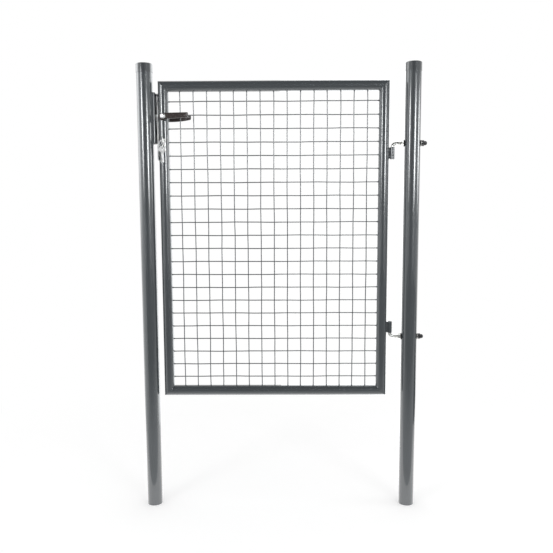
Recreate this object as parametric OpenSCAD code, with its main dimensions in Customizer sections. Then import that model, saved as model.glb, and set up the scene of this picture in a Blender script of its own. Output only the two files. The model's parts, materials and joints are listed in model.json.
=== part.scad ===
// Mesh garden gate: a single leaf of round steel tube with a welded wire mesh,
// hung on two hook pins between two round posts, with a lever lock.
//
// Frame: millimetres, +Z up, origin at the middle of the hinge post's foot.
// The leaf lies in the X-Z plane and reaches towards -X. It opens towards -Y.

/* [Posts] */
// Outer diameter of both posts
post_d = 60; // [50:1:80]
// Wall of the post tubes
post_wall = 2; // [1.5:0.25:4]
// Length of the posts, foot to top
post_len = 1700; // [1660:10:2200]
// Thickness of the disc that closes each post's foot
foot_t = 2; // [1:0.5:6]

/* [Post caps] */
// Wall of the cap's skirt
cap_wall = 0.9; // [0.8:0.1:3]
// Length of skirt over the post
cap_skirt = 30; // [10:1:60]
// Thickness of the cap's edge above the post
cap_top_t = 1.6; // [1:0.2:5]
// Rise of the cap's domed top
cap_dome = 3.6; // [1:0.2:15]

/* [Leaf] */
// Width of the leaf over its tubes
leaf_w = 864; // [620:1:1300]
// Height of the leaf over its tubes
leaf_h = 1200; // [960:1:1450]
// Height of the leaf's underside above the posts' feet
leaf_lift = 440; // [20:5:480]
// Outer diameter of the leaf's tubes
frame_d = 40; // [38:1:48]
// Wall of the leaf's tubes
frame_wall = 1.5; // [1:0.1:1.8]
// Space between the leaf and the hinge post
hinge_gap = 57; // [52:1:90]
// Space between the leaf and the latch post
latch_gap = 19; // [18:1:35]

/* [Mesh] */
// Spacing of the wires, both ways
wire_pitch = 50; // [30:1:100]
// Diameter of the wires
wire_d = 4; // [2:0.2:5]
// Least distance from an outermost wire to its tube
wire_margin = 20; // [10:1:60]
// Bite of one layer of wires into the other where they are welded
wire_bite = 0.4; // [0.2:0.1:0.8]
// Flats around a wire
wire_sides = 6; // [6, 8]

/* [Hinges] */
// Diameter of the hook pins' rod
rod_d = 12; // [10:0.5:14]
// Radius of the hook's bend, along its middle
bend_r = 14; // [12:0.5:20]
// Distance from the leaf's top and bottom to the rods
hinge_inset = 232.5; // [80:0.5:300]
// Distance from the leaf's edge to the hinge axis
axis_out = 12.5; // [12:0.5:20]
// Outer diameter of the sleeves
sleeve_d = 17; // [16:0.5:22]
// Length of the sleeves
sleeve_h = 44; // [25:1:70]
// Thickness of the web that carries a sleeve
sleeve_web = 6; // [4:0.5:10]

/* [Hinge fasteners] */
// Size of the nuts across their flats
nut_af = 19; // [17:0.5:24]
// Height of the inner nuts
nut_h = 10; // [6:0.5:12]
// Outer diameter of the washers
washer_d = 24; // [22:0.5:30]
// Thickness of the washers
washer_t = 2.5; // [1.5:0.5:4]
// Length of the domed cap nuts
cap_nut_len = 22; // [20:0.5:30]
// Diameter of the cap nuts' dome
cap_nut_dome = 18; // [16:0.5:19]

/* [Lock] */
// Distance from the leaf's top to the lever spindle
spindle_drop = 133; // [130:1:400]
// Distance from the spindle down to the cylinder's round part
cylinder_drop = 88; // [72:1:92]
// Thickness of the lock case
case_t = 16; // [14:0.5:17]
// Height of the lock case above the spindle
case_up = 57; // [30:1:70]
// Height of the lock case below the spindle
case_down = 143; // [125:1:150]
// Width of the forend plate
forend_w = 22; // [20:0.5:26]
// Thickness of the forend plate
forend_t = 4; // [2:0.5:5]
// Height of the forend above the spindle
forend_up = 85; // [75:1:100]
// Height of the forend below the spindle
forend_down = 160; // [155:1:170]
// Height of the latch bolt
latch_h = 22; // [14:1:26]
// Thickness of the latch bolt
latch_t = 10; // [8:0.5:11]
// Reach of the latch bolt out of the forend
latch_throw = 10; // [8:0.5:12]
// Distance from the spindle down to the dead bolt's middle
dead_bolt_drop = 55; // [45:1:56]
// Height of the dead bolt
dead_bolt_h = 26; // [18:1:30]

/* [Strike box] */
// Height of the strike box above the spindle
strike_up = 90; // [80:1:120]
// Height of the strike box below the spindle
strike_down = 97; // [80:1:130]
// Thickness of the strike box's sheet
strike_t = 3; // [2:0.5:4]
// Distance from the leaf's middle plane to the strike box's front
strike_front = 16; // [13:0.5:22]

/* [Lock cylinder] */
// Diameter of the cylinder's round part
barrel_d = 17; // [16:0.5:18]
// Thickness of the cylinder's lower lobe
lobe_t = 10; // [8:0.5:12]
// Height of the cylinder from top to bottom
barrel_h = 33; // [28:0.5:36]
// Reach of the cylinder out of the tube, front and rear
barrel_proud = 5; // [2:0.5:8]

/* [Levers] */
// Side of the square spindle
spindle_s = 8; // [7:0.5:9]
// Outer diameter of the roses
rose_d = 27; // [24:0.5:36]
// Reach of the roses out of the tube
rose_proud = 6.5; // [4:0.5:10]
// Diameter of the lever necks
neck_d = 15; // [14:0.5:18]
// Distance from the leaf's middle plane to a lever's middle
lever_out = 46; // [42:0.5:60]
// Distance from the spindle to the start of the grip
grip_start = 13; // [9:0.5:14]
// Distance from the spindle to the tip of the grip
grip_end = 97; // [85:1:130]
// Height of the grip at its thickest
grip_h = 22; // [17:0.5:26]
// Depth of the grip at its thickest
grip_t = 12; // [9:0.5:16]
// Rise of the grip's tip
grip_rise = 5; // [0:0.5:8]
// Return of the grip's tip towards the leaf
grip_return = 8; // [0:0.5:12]

/* [Keys] */
// Diameter of a key's bow
bow_d = 23; // [20:0.5:28]
// Diameter of the hole in a key's bow
bow_hole = 7; // [6:0.5:8]
// Distance from the hole's middle to the bow's outer edge
bow_edge = 6; // [5.5:0.5:8]
// Thickness of a key
key_t = 1.8; // [1.5:0.1:2.2]
// Length of a key's blade
blade_len = 33; // [25:1:40]
// Width of a key's blade
blade_w = 8.5; // [7:0.5:9]
// Length of the shoulder between bow and blade
shoulder_len = 4; // [2:0.5:6]
// Radius of the key ring, along its wire's middle
ring_r = 13; // [11:0.5:18]
// Diameter of the key ring's wire
ring_wire = 1.8; // [1.2:0.1:2.2]

/* [Clearances] */
// Radial play of a hook pin in its sleeve, and of the rods in their holes
pin_play = 0.08; // [0.02:0.02:0.1]
// Gap between pieces that sit on each other
seat_gap = 0.15; // [0.1:0.05:0.3]
// Play of a sliding bolt in its slot, all round
bolt_play = 0.3; // [0.2:0.1:0.5]
// Free space kept between the swinging leaf and what is fixed
swing_gap = 5; // [4:0.5:8]
// Play of the latch bolt in the strike box, all round
keep_play = 0.8; // [0.5:0.1:2]

/* [Hidden] */

$fn = 64;
eps = 1;

paint = [0.16, 0.18, 0.19];
zinc = [0.72, 0.73, 0.74];
black = [0.09, 0.09, 0.09];

post_r = post_d / 2;
frame_r = frame_d / 2;
bore_r = frame_r - frame_wall;

// Leaf edges and tube axes
leaf_right = -(post_r + hinge_gap);
leaf_left = leaf_right - leaf_w;
leaf_bottom = leaf_lift;
leaf_top = leaf_lift + leaf_h;
lock_x = leaf_left + frame_r;
hinge_x = leaf_right - frame_r;
latch_post_x = leaf_left - latch_gap - post_r;

// Wires: as many whole spaces as fit between the margins, centred in the frame
open_w = leaf_w - 2 * frame_d;
open_h = leaf_h - 2 * frame_d;
cols = floor((open_w - 2 * wire_margin) / wire_pitch);
rows = floor((open_h - 2 * wire_margin) / wire_pitch);
mid_x = (leaf_left + leaf_right) / 2;
mid_z = (leaf_bottom + leaf_top) / 2;
wire_offset = (wire_d * cos(180 / wire_sides) - wire_bite) / 2;

// Hinges
axis_x = leaf_right + axis_out;
upper_rod_z = leaf_top - hinge_inset;
lower_rod_z = leaf_bottom + hinge_inset;
sleeve_to_rod = bend_r + 0.5;
pin_short = 2;
washer_seat = post_r + seat_gap;
nut_seat = washer_seat + washer_t;
rod_end = nut_seat + cap_nut_len - cap_nut_dome / 2 + 2;

// Lock
spindle_z = leaf_top - spindle_drop;
cylinder_z = spindle_z - cylinder_drop;
case_clear = 0.4;
case_depth = sqrt(pow(bore_r - case_clear, 2) - pow(case_t / 2, 2));
forend_x = leaf_left - forend_t;
latch_inside = 1.4;
dead_bolt_z = spindle_z - dead_bolt_drop;
dead_bolt_len = 16;

// Strike box: its web stands off the forend, its rear lip off forend and stile
web_x = forend_x - swing_gap;
lip_y = forend_w / 2 + swing_gap;
lip_x = lock_x - sqrt(pow(frame_r + swing_gap, 2) - pow(lip_y, 2));

// Levers
spindle_hole_d = spindle_s * sqrt(2) + 1;
neck_start = frame_r + 0.6;
neck_len = lever_out + neck_d / 2 - neck_start;
grip_root_h = neck_d + 1;

// Keys: the lock key's bow stands in the Y-Z plane in front of the cylinder
barrel_face = frame_r + barrel_proud;
bow_centre = bow_d / 2 - bow_edge;
key_hole_y = -(barrel_face + shoulder_len + bow_d - bow_edge);
hang_slack = 1.3;
key_hang = bow_hole / 2 - ring_wire / 2 - hang_slack;
ring_turn = 45;
spare_step = (key_t + 0.9) / (2 * sin(ring_turn));
spare_fan = 5;

// ---------------------------------------------------------------- helpers

// A tube along +Z, open at both ends
module tube(d, wall, h) {
    difference() {
        cylinder(d = d, h = h);
        translate([0, 0, -eps]) cylinder(d = d - 2 * wall, h = h + 2 * eps);
    }
}

// A leaf tube along +X from 0 to len, its ends mitred at 45 degrees towards +Z
module mitred_tube(len) {
    intersection() {
        rotate([0, 90, 0]) tube(frame_d, frame_wall, len);
        translate([0, frame_d, 0]) rotate([90, 0, 0]) linear_extrude(2 * frame_d)
            polygon([
                [0, -frame_r], [len, -frame_r],
                [len - frame_d, frame_r], [frame_d, frame_r]
            ]);
    }
}

// A hexagonal prism along +X
module hex_x(af, h) {
    rotate([0, 90, 0]) cylinder(d = af / cos(30), h = h, $fn = 6);
}

// Drill along X through whatever stands at the origin
module rod_hole(from, to) {
    translate([from, 0, 0]) rotate([0, 90, 0])
        cylinder(r = rod_d / 2 + pin_play, h = to - from);
}

// The lock cylinder's outline, round part centred on the origin
module profile_2d(grow) {
    circle(d = barrel_d + 2 * grow);
    translate([-lobe_t / 2 - grow, -(barrel_h - barrel_d / 2 - lobe_t / 2)])
        square([lobe_t + 2 * grow, barrel_h - barrel_d / 2 - lobe_t / 2]);
    translate([0, -(barrel_h - barrel_d / 2 - lobe_t / 2)]) circle(d = lobe_t + 2 * grow);
}

// Extrude an X-Z outline along Y, centred on the leaf's plane
module along_y(len) {
    translate([0, len / 2, 0]) rotate([90, 0, 0]) linear_extrude(len) children();
}

// ------------------------------------------------------------------ posts

module post_tube() {
    difference() {
        cylinder(d = post_d, h = post_len);
        translate([0, 0, foot_t]) cylinder(d = post_d - 2 * post_wall, h = post_len);
    }
}

module hinge_post() {
    color(paint) difference() {
        post_tube();
        for (z = [upper_rod_z, lower_rod_z])
            translate([0, 0, z]) rod_hole(-post_d, post_d);
    }
}

module latch_post() {
    color(paint) translate([latch_post_x, 0, 0]) post_tube();
}

// A pushed-on cap: thin skirt, flat edge, shallow dome
module post_cap() {
    r = post_r + seat_gap + cap_wall;
    dome_r = (r * r + cap_dome * cap_dome) / (2 * cap_dome);
    dome_a = asin(r / dome_r);
    dome_steps = 16;
    top = post_len + seat_gap + cap_top_t;
    rotate_extrude($fn = 96) polygon(concat(
        [[0, post_len + seat_gap], [post_r + seat_gap, post_len + seat_gap]],
        [[post_r + seat_gap, post_len - cap_skirt], [r, post_len - cap_skirt]],
        [for (i = [0 : dome_steps]) let (a = dome_a * (1 - i / dome_steps))
            [dome_r * sin(a), top + cap_dome - dome_r * (1 - cos(a))]]
    ));
}

module hinge_post_cap() {
    color(black) post_cap();
}

module latch_post_cap() {
    color(black) translate([latch_post_x, 0, 0]) post_cap();
}

// Folded sheet on the latch post: front flange, slotted web, rear stop lip
module strike_box() {
    low = spindle_z - strike_down;
    high = strike_up + strike_down;
    color(paint) difference() {
        union() {
            translate([web_x - strike_t, -strike_front, low])
                cube([strike_t, strike_front + lip_y + strike_t, high]);
            translate([latch_post_x, -strike_front, low])
                cube([web_x - latch_post_x, strike_t, high]);
            translate([latch_post_x, lip_y, low])
                cube([lip_x - latch_post_x, strike_t, high]);
        }
        translate([latch_post_x, 0, low - eps])
            cylinder(r = post_r + seat_gap, h = high + 2 * eps);
        bolt_slot(spindle_z, latch_h);
        bolt_slot(dead_bolt_z, dead_bolt_h);
    }
}

module bolt_slot(z, h) {
    translate([web_x - strike_t - eps, -latch_t / 2 - keep_play, z - h / 2 - keep_play])
        cube([strike_t + 2 * eps, latch_t + 2 * keep_play, h + 2 * keep_play]);
}

// ----------------------------------------------------------------- hinges

// A hook pin at the upper place: rod through the post, bend, pin pointing down
module hook_pin() {
    translate([axis_x + bend_r, 0, 0]) rotate([0, 90, 0])
        cylinder(d = rod_d, h = rod_end - axis_x - bend_r);
    translate([axis_x + bend_r, 0, -bend_r]) rotate([90, 0, 0]) rotate([0, 0, 90])
        rotate_extrude(angle = 90) translate([bend_r, 0]) circle(d = rod_d);
    translate([axis_x, 0, -sleeve_to_rod - sleeve_h + pin_short])
        cylinder(d = rod_d, h = sleeve_h + sleeve_to_rod - bend_r - pin_short);
}

module upper_hook_pin() {
    color(zinc) translate([0, 0, upper_rod_z]) hook_pin();
}

module lower_hook_pin() {
    color(zinc) translate([0, 0, lower_rod_z]) mirror([0, 0, 1]) hook_pin();
}

module inner_nut() {
    color(zinc) difference() {
        translate([-nut_seat - seat_gap - nut_h, 0, 0]) hex_x(nut_af, nut_h);
        rod_hole(-2 * post_d, 0);
    }
}

module upper_inner_nut() { translate([0, 0, upper_rod_z]) inner_nut(); }
module lower_inner_nut() { translate([0, 0, lower_rod_z]) inner_nut(); }

// A washer on the side of the hinge post given by its lower X
module washer(x) {
    color(zinc) difference() {
        translate([x, 0, 0]) rotate([0, 90, 0]) cylinder(d = washer_d, h = washer_t);
        rod_hole(x - eps, x + washer_t + eps);
    }
}

module upper_inner_washer() { translate([0, 0, upper_rod_z]) washer(-washer_seat - washer_t); }
module lower_inner_washer() { translate([0, 0, lower_rod_z]) washer(-washer_seat - washer_t); }
module upper_outer_washer() { translate([0, 0, upper_rod_z]) washer(washer_seat); }
module lower_outer_washer() { translate([0, 0, lower_rod_z]) washer(washer_seat); }

// A domed cap nut: hexagon, round shank and a ball end, drilled blind
module cap_nut() {
    start = nut_seat + seat_gap;
    shank = cap_nut_len - cap_nut_dome / 2;
    color(black) difference() {
        union() {
            translate([start, 0, 0]) hex_x(nut_af, cap_nut_len / 2);
            translate([start, 0, 0]) rotate([0, 90, 0]) cylinder(d = cap_nut_dome, h = shank);
            translate([start + shank, 0, 0]) sphere(d = cap_nut_dome);
        }
        rod_hole(start - cap_nut_dome, rod_end + 1);
    }
}

module upper_cap_nut() { translate([0, 0, upper_rod_z]) cap_nut(); }
module lower_cap_nut() { translate([0, 0, lower_rod_z]) cap_nut(); }

// A sleeve with its web, standing on z = 0 around the hinge axis
module hinge_sleeve() {
    color(paint) difference() {
        union() {
            translate([axis_x, 0, 0]) cylinder(d = sleeve_d, h = sleeve_h);
            translate([hinge_x, -sleeve_web / 2, 0])
                cube([axis_x - hinge_x, sleeve_web, sleeve_h]);
        }
        translate([axis_x, 0, -eps]) cylinder(r = rod_d / 2 + pin_play, h = sleeve_h + 2 * eps);
        translate([hinge_x, 0, -eps]) cylinder(r = frame_r + seat_gap, h = sleeve_h + 2 * eps);
    }
}

module upper_hinge_sleeve() {
    translate([0, 0, upper_rod_z - sleeve_to_rod - sleeve_h]) hinge_sleeve();
}

module lower_hinge_sleeve() {
    translate([0, 0, lower_rod_z + sleeve_to_rod]) hinge_sleeve();
}

// ------------------------------------------------------------------- leaf

module bottom_rail() {
    color(paint) translate([leaf_left, 0, leaf_bottom + frame_r]) mitred_tube(leaf_w);
}

module top_rail() {
    color(paint) translate([leaf_left, 0, leaf_top - frame_r]) mirror([0, 0, 1])
        mitred_tube(leaf_w);
}

module hinge_stile() {
    color(paint) translate([hinge_x, 0, leaf_bottom]) rotate([0, -90, 0]) mitred_tube(leaf_h);
}

// The lock stile has a slot for the lock case and is drilled for spindle and cylinder
module lock_stile() {
    color(paint) difference() {
        translate([lock_x, 0, leaf_bottom]) mirror([1, 0, 0]) rotate([0, -90, 0])
            mitred_tube(leaf_h);
        translate([leaf_left - eps, -case_t / 2 - seat_gap, spindle_z - case_down - seat_gap])
            cube([frame_r, case_t + 2 * seat_gap, case_up + case_down + 2 * seat_gap]);
        translate([lock_x, frame_d, spindle_z]) rotate([90, 0, 0])
            cylinder(d = spindle_hole_d, h = 2 * frame_d);
        translate([lock_x, 0, cylinder_z]) along_y(2 * frame_d) profile_2d(seat_gap);
    }
}

// Two layers of straight wires, welded where they cross
module mesh_panel() {
    color(paint) union() {
        for (i = [0 : cols])
            translate([
                mid_x + (i - cols / 2) * wire_pitch, -wire_offset,
                leaf_bottom + frame_d + seat_gap
            ])
                wire(open_h - 2 * seat_gap);
        for (i = [0 : rows])
            translate([
                leaf_left + frame_d + seat_gap, wire_offset,
                mid_z + (i - rows / 2) * wire_pitch
            ])
                rotate([0, 90, 0]) wire(open_w - 2 * seat_gap);
    }
}

module wire(len) {
    rotate([0, 0, 90]) cylinder(d = wire_d, h = len, $fn = wire_sides);
}

// ------------------------------------------------------------------- lock

module lock_case() {
    color(zinc) difference() {
        translate([leaf_left, -case_t / 2, spindle_z - case_down])
            cube([lock_x + case_depth - leaf_left, case_t, case_up + case_down]);
        translate([lock_x, case_t, spindle_z]) rotate([90, 0, 0])
            cylinder(d = spindle_hole_d, h = 2 * case_t);
        translate([lock_x, 0, cylinder_z]) along_y(2 * case_t) profile_2d(seat_gap);
        bolt_pocket(spindle_z, latch_h, latch_inside + latch_throw + 0.5);
        bolt_pocket(dead_bolt_z, dead_bolt_h, dead_bolt_len);
    }
}

// A pocket for a bolt, from outside the forend to a depth behind it
module bolt_pocket(z, h, depth) {
    translate([forend_x - eps, -latch_t / 2 - bolt_play, z - h / 2 - bolt_play])
        cube([forend_t + eps + depth, latch_t + 2 * bolt_play, h + 2 * bolt_play]);
}

module lock_forend() {
    low = spindle_z - forend_down + forend_w / 2;
    high = spindle_z + forend_up - forend_w / 2;
    color(zinc) difference() {
        translate([forend_x, 0, 0]) union() {
            translate([0, -forend_w / 2, low]) cube([forend_t, forend_w, high - low]);
            for (z = [low, high])
                translate([0, 0, z]) rotate([0, 90, 0]) cylinder(d = forend_w, h = forend_t);
        }
        bolt_pocket(spindle_z, latch_h, 0);
        bolt_pocket(dead_bolt_z, dead_bolt_h, 0);
    }
}

// The dead bolt, drawn back until it is flush with the forend
module dead_bolt() {
    color(zinc) translate([forend_x, -latch_t / 2, dead_bolt_z - dead_bolt_h / 2])
        cube([forend_t + dead_bolt_len - bolt_play, latch_t, dead_bolt_h]);
}

// The latch bolt's rear corner is sloped, so that it rides in as the leaf closes
module latch_bolt() {
    tip = forend_x - latch_throw;
    heel = leaf_left + latch_inside;
    color(zinc) translate([0, 0, spindle_z - latch_h / 2]) linear_extrude(latch_h) polygon([
        [heel, -latch_t / 2], [heel, latch_t / 2],
        [tip + latch_t * 0.75, latch_t / 2], [tip + 0.5, -latch_t / 2 + 2], [tip, -latch_t / 2]
    ]);
}

module lock_cylinder() {
    keyway_w = key_t + 0.5;
    keyway_h = blade_w + 0.5;
    color(zinc) difference() {
        translate([lock_x, 0, cylinder_z]) along_y(2 * barrel_face) profile_2d(0);
        translate([lock_x - keyway_w / 2, -barrel_face - eps, cylinder_z - keyway_h / 2])
            cube([keyway_w, blade_len + 1 + eps, keyway_h]);
    }
}

// ----------------------------------------------------------------- levers

// A rose with its back hollowed to sit on the tube, facing -Y
module rose() {
    color(black) difference() {
        rotate([90, 0, 0]) cylinder(d = rose_d, h = frame_r + rose_proud);
        translate([0, 0, -rose_d]) cylinder(r = frame_r + seat_gap, h = 2 * rose_d);
        rotate([90, 0, 0]) cylinder(d = neck_d + 0.6, h = 2 * frame_d);
    }
}

module front_rose() {
    translate([lock_x, 0, spindle_z]) rose();
}

module rear_rose() {
    translate([lock_x, 0, spindle_z]) mirror([0, 1, 0]) rose();
}

module lever_spindle() {
    len = 2 * (lever_out - 2);
    color(zinc) translate([lock_x - spindle_s / 2, -len / 2, spindle_z - spindle_s / 2])
        cube([spindle_s, len, spindle_s]);
}

// Neck out of the rose, with a ball corner and a short arm towards the grip
module neck() {
    color(zinc) difference() {
        union() {
            translate([0, -neck_start, 0]) rotate([90, 0, 0])
                cylinder(d = neck_d, h = lever_out - neck_start);
            translate([0, -lever_out, 0]) sphere(d = neck_d);
            translate([0, -lever_out, 0]) rotate([0, 90, 0]) cylinder(d = neck_d, h = grip_start);
        }
        socket = spindle_s + 2 * seat_gap;
        translate([-socket / 2, -lever_out + 2 - seat_gap, -socket / 2])
            cube([socket, lever_out, socket]);
    }
}

module front_lever_neck() {
    translate([lock_x, 0, spindle_z]) neck();
}

module rear_lever_neck() {
    translate([lock_x, 0, spindle_z]) mirror([0, 1, 0]) neck();
}

// Cross-sections of the grip, root to tip: [share of length, height, depth]
function grip_rings() = [
    [0, grip_root_h, grip_t], [0.12, grip_h, grip_t], [0.55, grip_h * 0.92, grip_t * 0.9],
    [0.94, grip_h * 0.82, grip_t * 0.75], [1, grip_h * 0.66, grip_t * 0.55]
];

// An oval slice across X; the middle line rises and returns with the square of its share
module grip_slice(ring) {
    s = ring[0];
    skin = 0.02;
    translate([
        grip_start + s * (grip_end - grip_start - skin),
        -lever_out + grip_return * s * s, grip_rise * s * s
    ])
        rotate([0, 90, 0]) scale([ring[1] / 2, ring[2] / 2, 1]) cylinder(r = 1, h = skin, $fn = 32);
}

module grip() {
    rings = grip_rings();
    color(black) for (i = [0 : len(rings) - 2]) hull() {
        grip_slice(rings[i]);
        grip_slice(rings[i + 1]);
    }
}

module front_lever_grip() {
    translate([lock_x, 0, spindle_z]) grip();
}

module rear_lever_grip() {
    translate([lock_x, 0, spindle_z]) mirror([0, 1, 0]) grip();
}

// ------------------------------------------------------------------- keys

// A key in the X-Y plane, its hole on the origin and its blade towards -Y
module key_2d() {
    blade_top = -bow_centre - bow_d / 2 - shoulder_len;
    notch = 1.3;
    notches = 5;
    plain = 6;
    difference() {
        union() {
            translate([0, -bow_centre]) circle(d = bow_d);
            translate([-blade_w / 2 - 1, blade_top]) square([blade_w + 2, shoulder_len + 3]);
            polygon([
                [-blade_w / 2, blade_top + 1], [-blade_w / 2, blade_top - blade_len + 3],
                [0, blade_top - blade_len], [blade_w / 2, blade_top - blade_len + 3],
                [blade_w / 2, blade_top + 1]
            ]);
        }
        circle(d = bow_hole);
        for (i = [0 : notches - 1])
            translate([blade_w / 2, blade_top - plain - i * (blade_len - 2 * plain) / (notches - 1)])
                rotate(45) square(notch * sqrt(2), center = true);
    }
}

module key_solid() {
    translate([0, 0, -key_t / 2]) linear_extrude(key_t) key_2d();
}

// The key in the cylinder: bow upright, blade towards +Y
module lock_key() {
    color(zinc) translate([lock_x, key_hole_y, cylinder_z]) rotate([0, 0, 180])
        rotate([0, -90, 0]) key_solid();
}

// What hangs in the lock key's hole is drawn around the ring's highest point
module on_ring() {
    translate([lock_x, key_hole_y, cylinder_z - key_hang]) rotate([0, 0, ring_turn]) children();
}

module key_ring() {
    color(zinc) on_ring() translate([0, 0, -ring_r]) rotate([90, 0, 0])
        rotate_extrude($fn = 72) translate([ring_r, 0]) circle(d = ring_wire, $fn = 24);
}

// A spare key hangs on the ring's lowest point, one step to the side
module spare_key(side) {
    rise = ring_r - sqrt(ring_r * ring_r - spare_step * spare_step);
    color(zinc) on_ring() translate([side * spare_step, 0, -2 * ring_r + rise - key_hang])
        rotate([0, 0, -ring_turn]) rotate([0, side * spare_fan, 0]) rotate([90, 0, 0]) key_solid();
}

module front_spare_key() { spare_key(-1); }
module rear_spare_key() { spare_key(1); }

// ------------------------------------------------------------------ nodes

hinge_post();
hinge_post_cap();
latch_post();
latch_post_cap();
strike_box();
upper_hook_pin();
lower_hook_pin();
upper_inner_nut();
lower_inner_nut();
upper_inner_washer();
lower_inner_washer();
upper_outer_washer();
lower_outer_washer();
upper_cap_nut();
lower_cap_nut();
top_rail();
bottom_rail();
hinge_stile();
lock_stile();
mesh_panel();
upper_hinge_sleeve();
lower_hinge_sleeve();
lock_case();
lock_forend();
dead_bolt();
lock_cylinder();
lock_key();
front_rose();
rear_rose();
lever_spindle();
front_lever_neck();
rear_lever_neck();
front_lever_grip();
rear_lever_grip();
latch_bolt();
key_ring();
front_spare_key();
rear_spare_key();
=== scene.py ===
# %% [markdown]
# # A mesh garden gate, piece by piece
#
# The gate is a leaf of round steel tube filled with welded wire mesh. It hangs on two hook pins between
# two round posts, and a lever lock holds it shut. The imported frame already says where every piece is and
# how it moves, so this script reads the places from it and adds what it leaves plain: the roundness of
# edges, weld beads, screw threads and the finish of each surface. It starts from an empty scene, because
# Blender's own cube and lamp would otherwise be counted as pieces of the gate.

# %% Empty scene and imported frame
import json
import math

import bmesh
import bpy
import numpy as np
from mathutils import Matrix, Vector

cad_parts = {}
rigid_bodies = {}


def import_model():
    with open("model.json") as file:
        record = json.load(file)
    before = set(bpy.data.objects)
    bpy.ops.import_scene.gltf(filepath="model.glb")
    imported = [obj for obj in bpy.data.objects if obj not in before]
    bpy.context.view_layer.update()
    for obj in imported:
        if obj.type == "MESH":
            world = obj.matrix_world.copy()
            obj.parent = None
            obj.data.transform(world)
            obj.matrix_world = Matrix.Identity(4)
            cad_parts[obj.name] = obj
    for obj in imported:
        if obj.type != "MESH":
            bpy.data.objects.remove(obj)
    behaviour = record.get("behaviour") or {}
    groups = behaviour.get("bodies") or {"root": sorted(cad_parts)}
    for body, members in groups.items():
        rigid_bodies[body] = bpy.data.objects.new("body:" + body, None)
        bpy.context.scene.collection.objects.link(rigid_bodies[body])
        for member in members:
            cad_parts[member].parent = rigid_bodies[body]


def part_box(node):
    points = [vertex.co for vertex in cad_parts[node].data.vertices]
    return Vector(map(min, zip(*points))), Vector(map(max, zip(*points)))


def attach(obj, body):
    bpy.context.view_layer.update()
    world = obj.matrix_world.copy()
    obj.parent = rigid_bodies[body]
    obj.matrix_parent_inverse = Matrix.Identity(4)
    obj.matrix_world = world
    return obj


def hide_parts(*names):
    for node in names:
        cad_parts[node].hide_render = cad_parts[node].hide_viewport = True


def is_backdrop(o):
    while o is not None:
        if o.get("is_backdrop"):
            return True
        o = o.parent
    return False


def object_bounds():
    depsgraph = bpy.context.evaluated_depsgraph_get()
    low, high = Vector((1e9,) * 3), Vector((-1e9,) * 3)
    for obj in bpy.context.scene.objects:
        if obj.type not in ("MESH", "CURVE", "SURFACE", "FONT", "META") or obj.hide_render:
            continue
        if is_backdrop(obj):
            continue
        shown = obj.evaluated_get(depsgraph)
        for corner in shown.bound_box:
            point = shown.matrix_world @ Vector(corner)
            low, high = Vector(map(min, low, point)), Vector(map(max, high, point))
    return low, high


for leftover in list(bpy.data.objects):
    bpy.data.objects.remove(leftover)
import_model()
cad_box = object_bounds()

MM = 0.001
TAU = 2 * math.pi
X, Y, Z = np.eye(3)


# %% [markdown]
# ## Surfaces from arrays
#
# A real tube, nut or bead is a profile carried along or round a line. In Blender such a shape could be
# modelled by hand, made by a Screw modifier, or worked out as numbers. Numbers are used here, because
# every size then stays a named value. A surface is a grid of points, worked out by numpy as one whole
# array, and neighbouring points become the corners of a four-sided face. Where a row of points falls
# together, as at the top of a ball, the doubles are merged and the faces close up into a pole. Each
# piece is an object at the origin, whose mesh lies where the frame has it.

# %% Faces between the points of a grid
def grid_faces(rows, columns, loop):
    """Corner numbers of the faces of a grid. The face at row i and column j joins the points (i, j),
    (i + 1, j), (i + 1, j + 1) and (i, j + 1). Where the grid loops, the last row or column is followed
    by the first."""
    i = np.arange(rows if loop in ("rows", "both") else rows - 1)[:, None]
    j = np.arange(columns if loop in ("columns", "both") else columns - 1)[None, :]
    below, right = (i + 1) % rows, (j + 1) % columns
    corners = (i * columns + j, below * columns + j, below * columns + right, i * columns + right)
    return np.stack(corners, -1)


for loop in ("none", "columns", "both"):
    print(f"3 rows of 4 points, looped in {loop}: {grid_faces(3, 4, loop)[..., 0].size} faces")


# %% One object from several surfaces
def add_object(name, data):
    """Puts a mesh, a lamp or a camera into the scene."""
    added = bpy.data.objects.new(name, data)
    bpy.context.scene.collection.objects.link(added)
    return added


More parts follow.
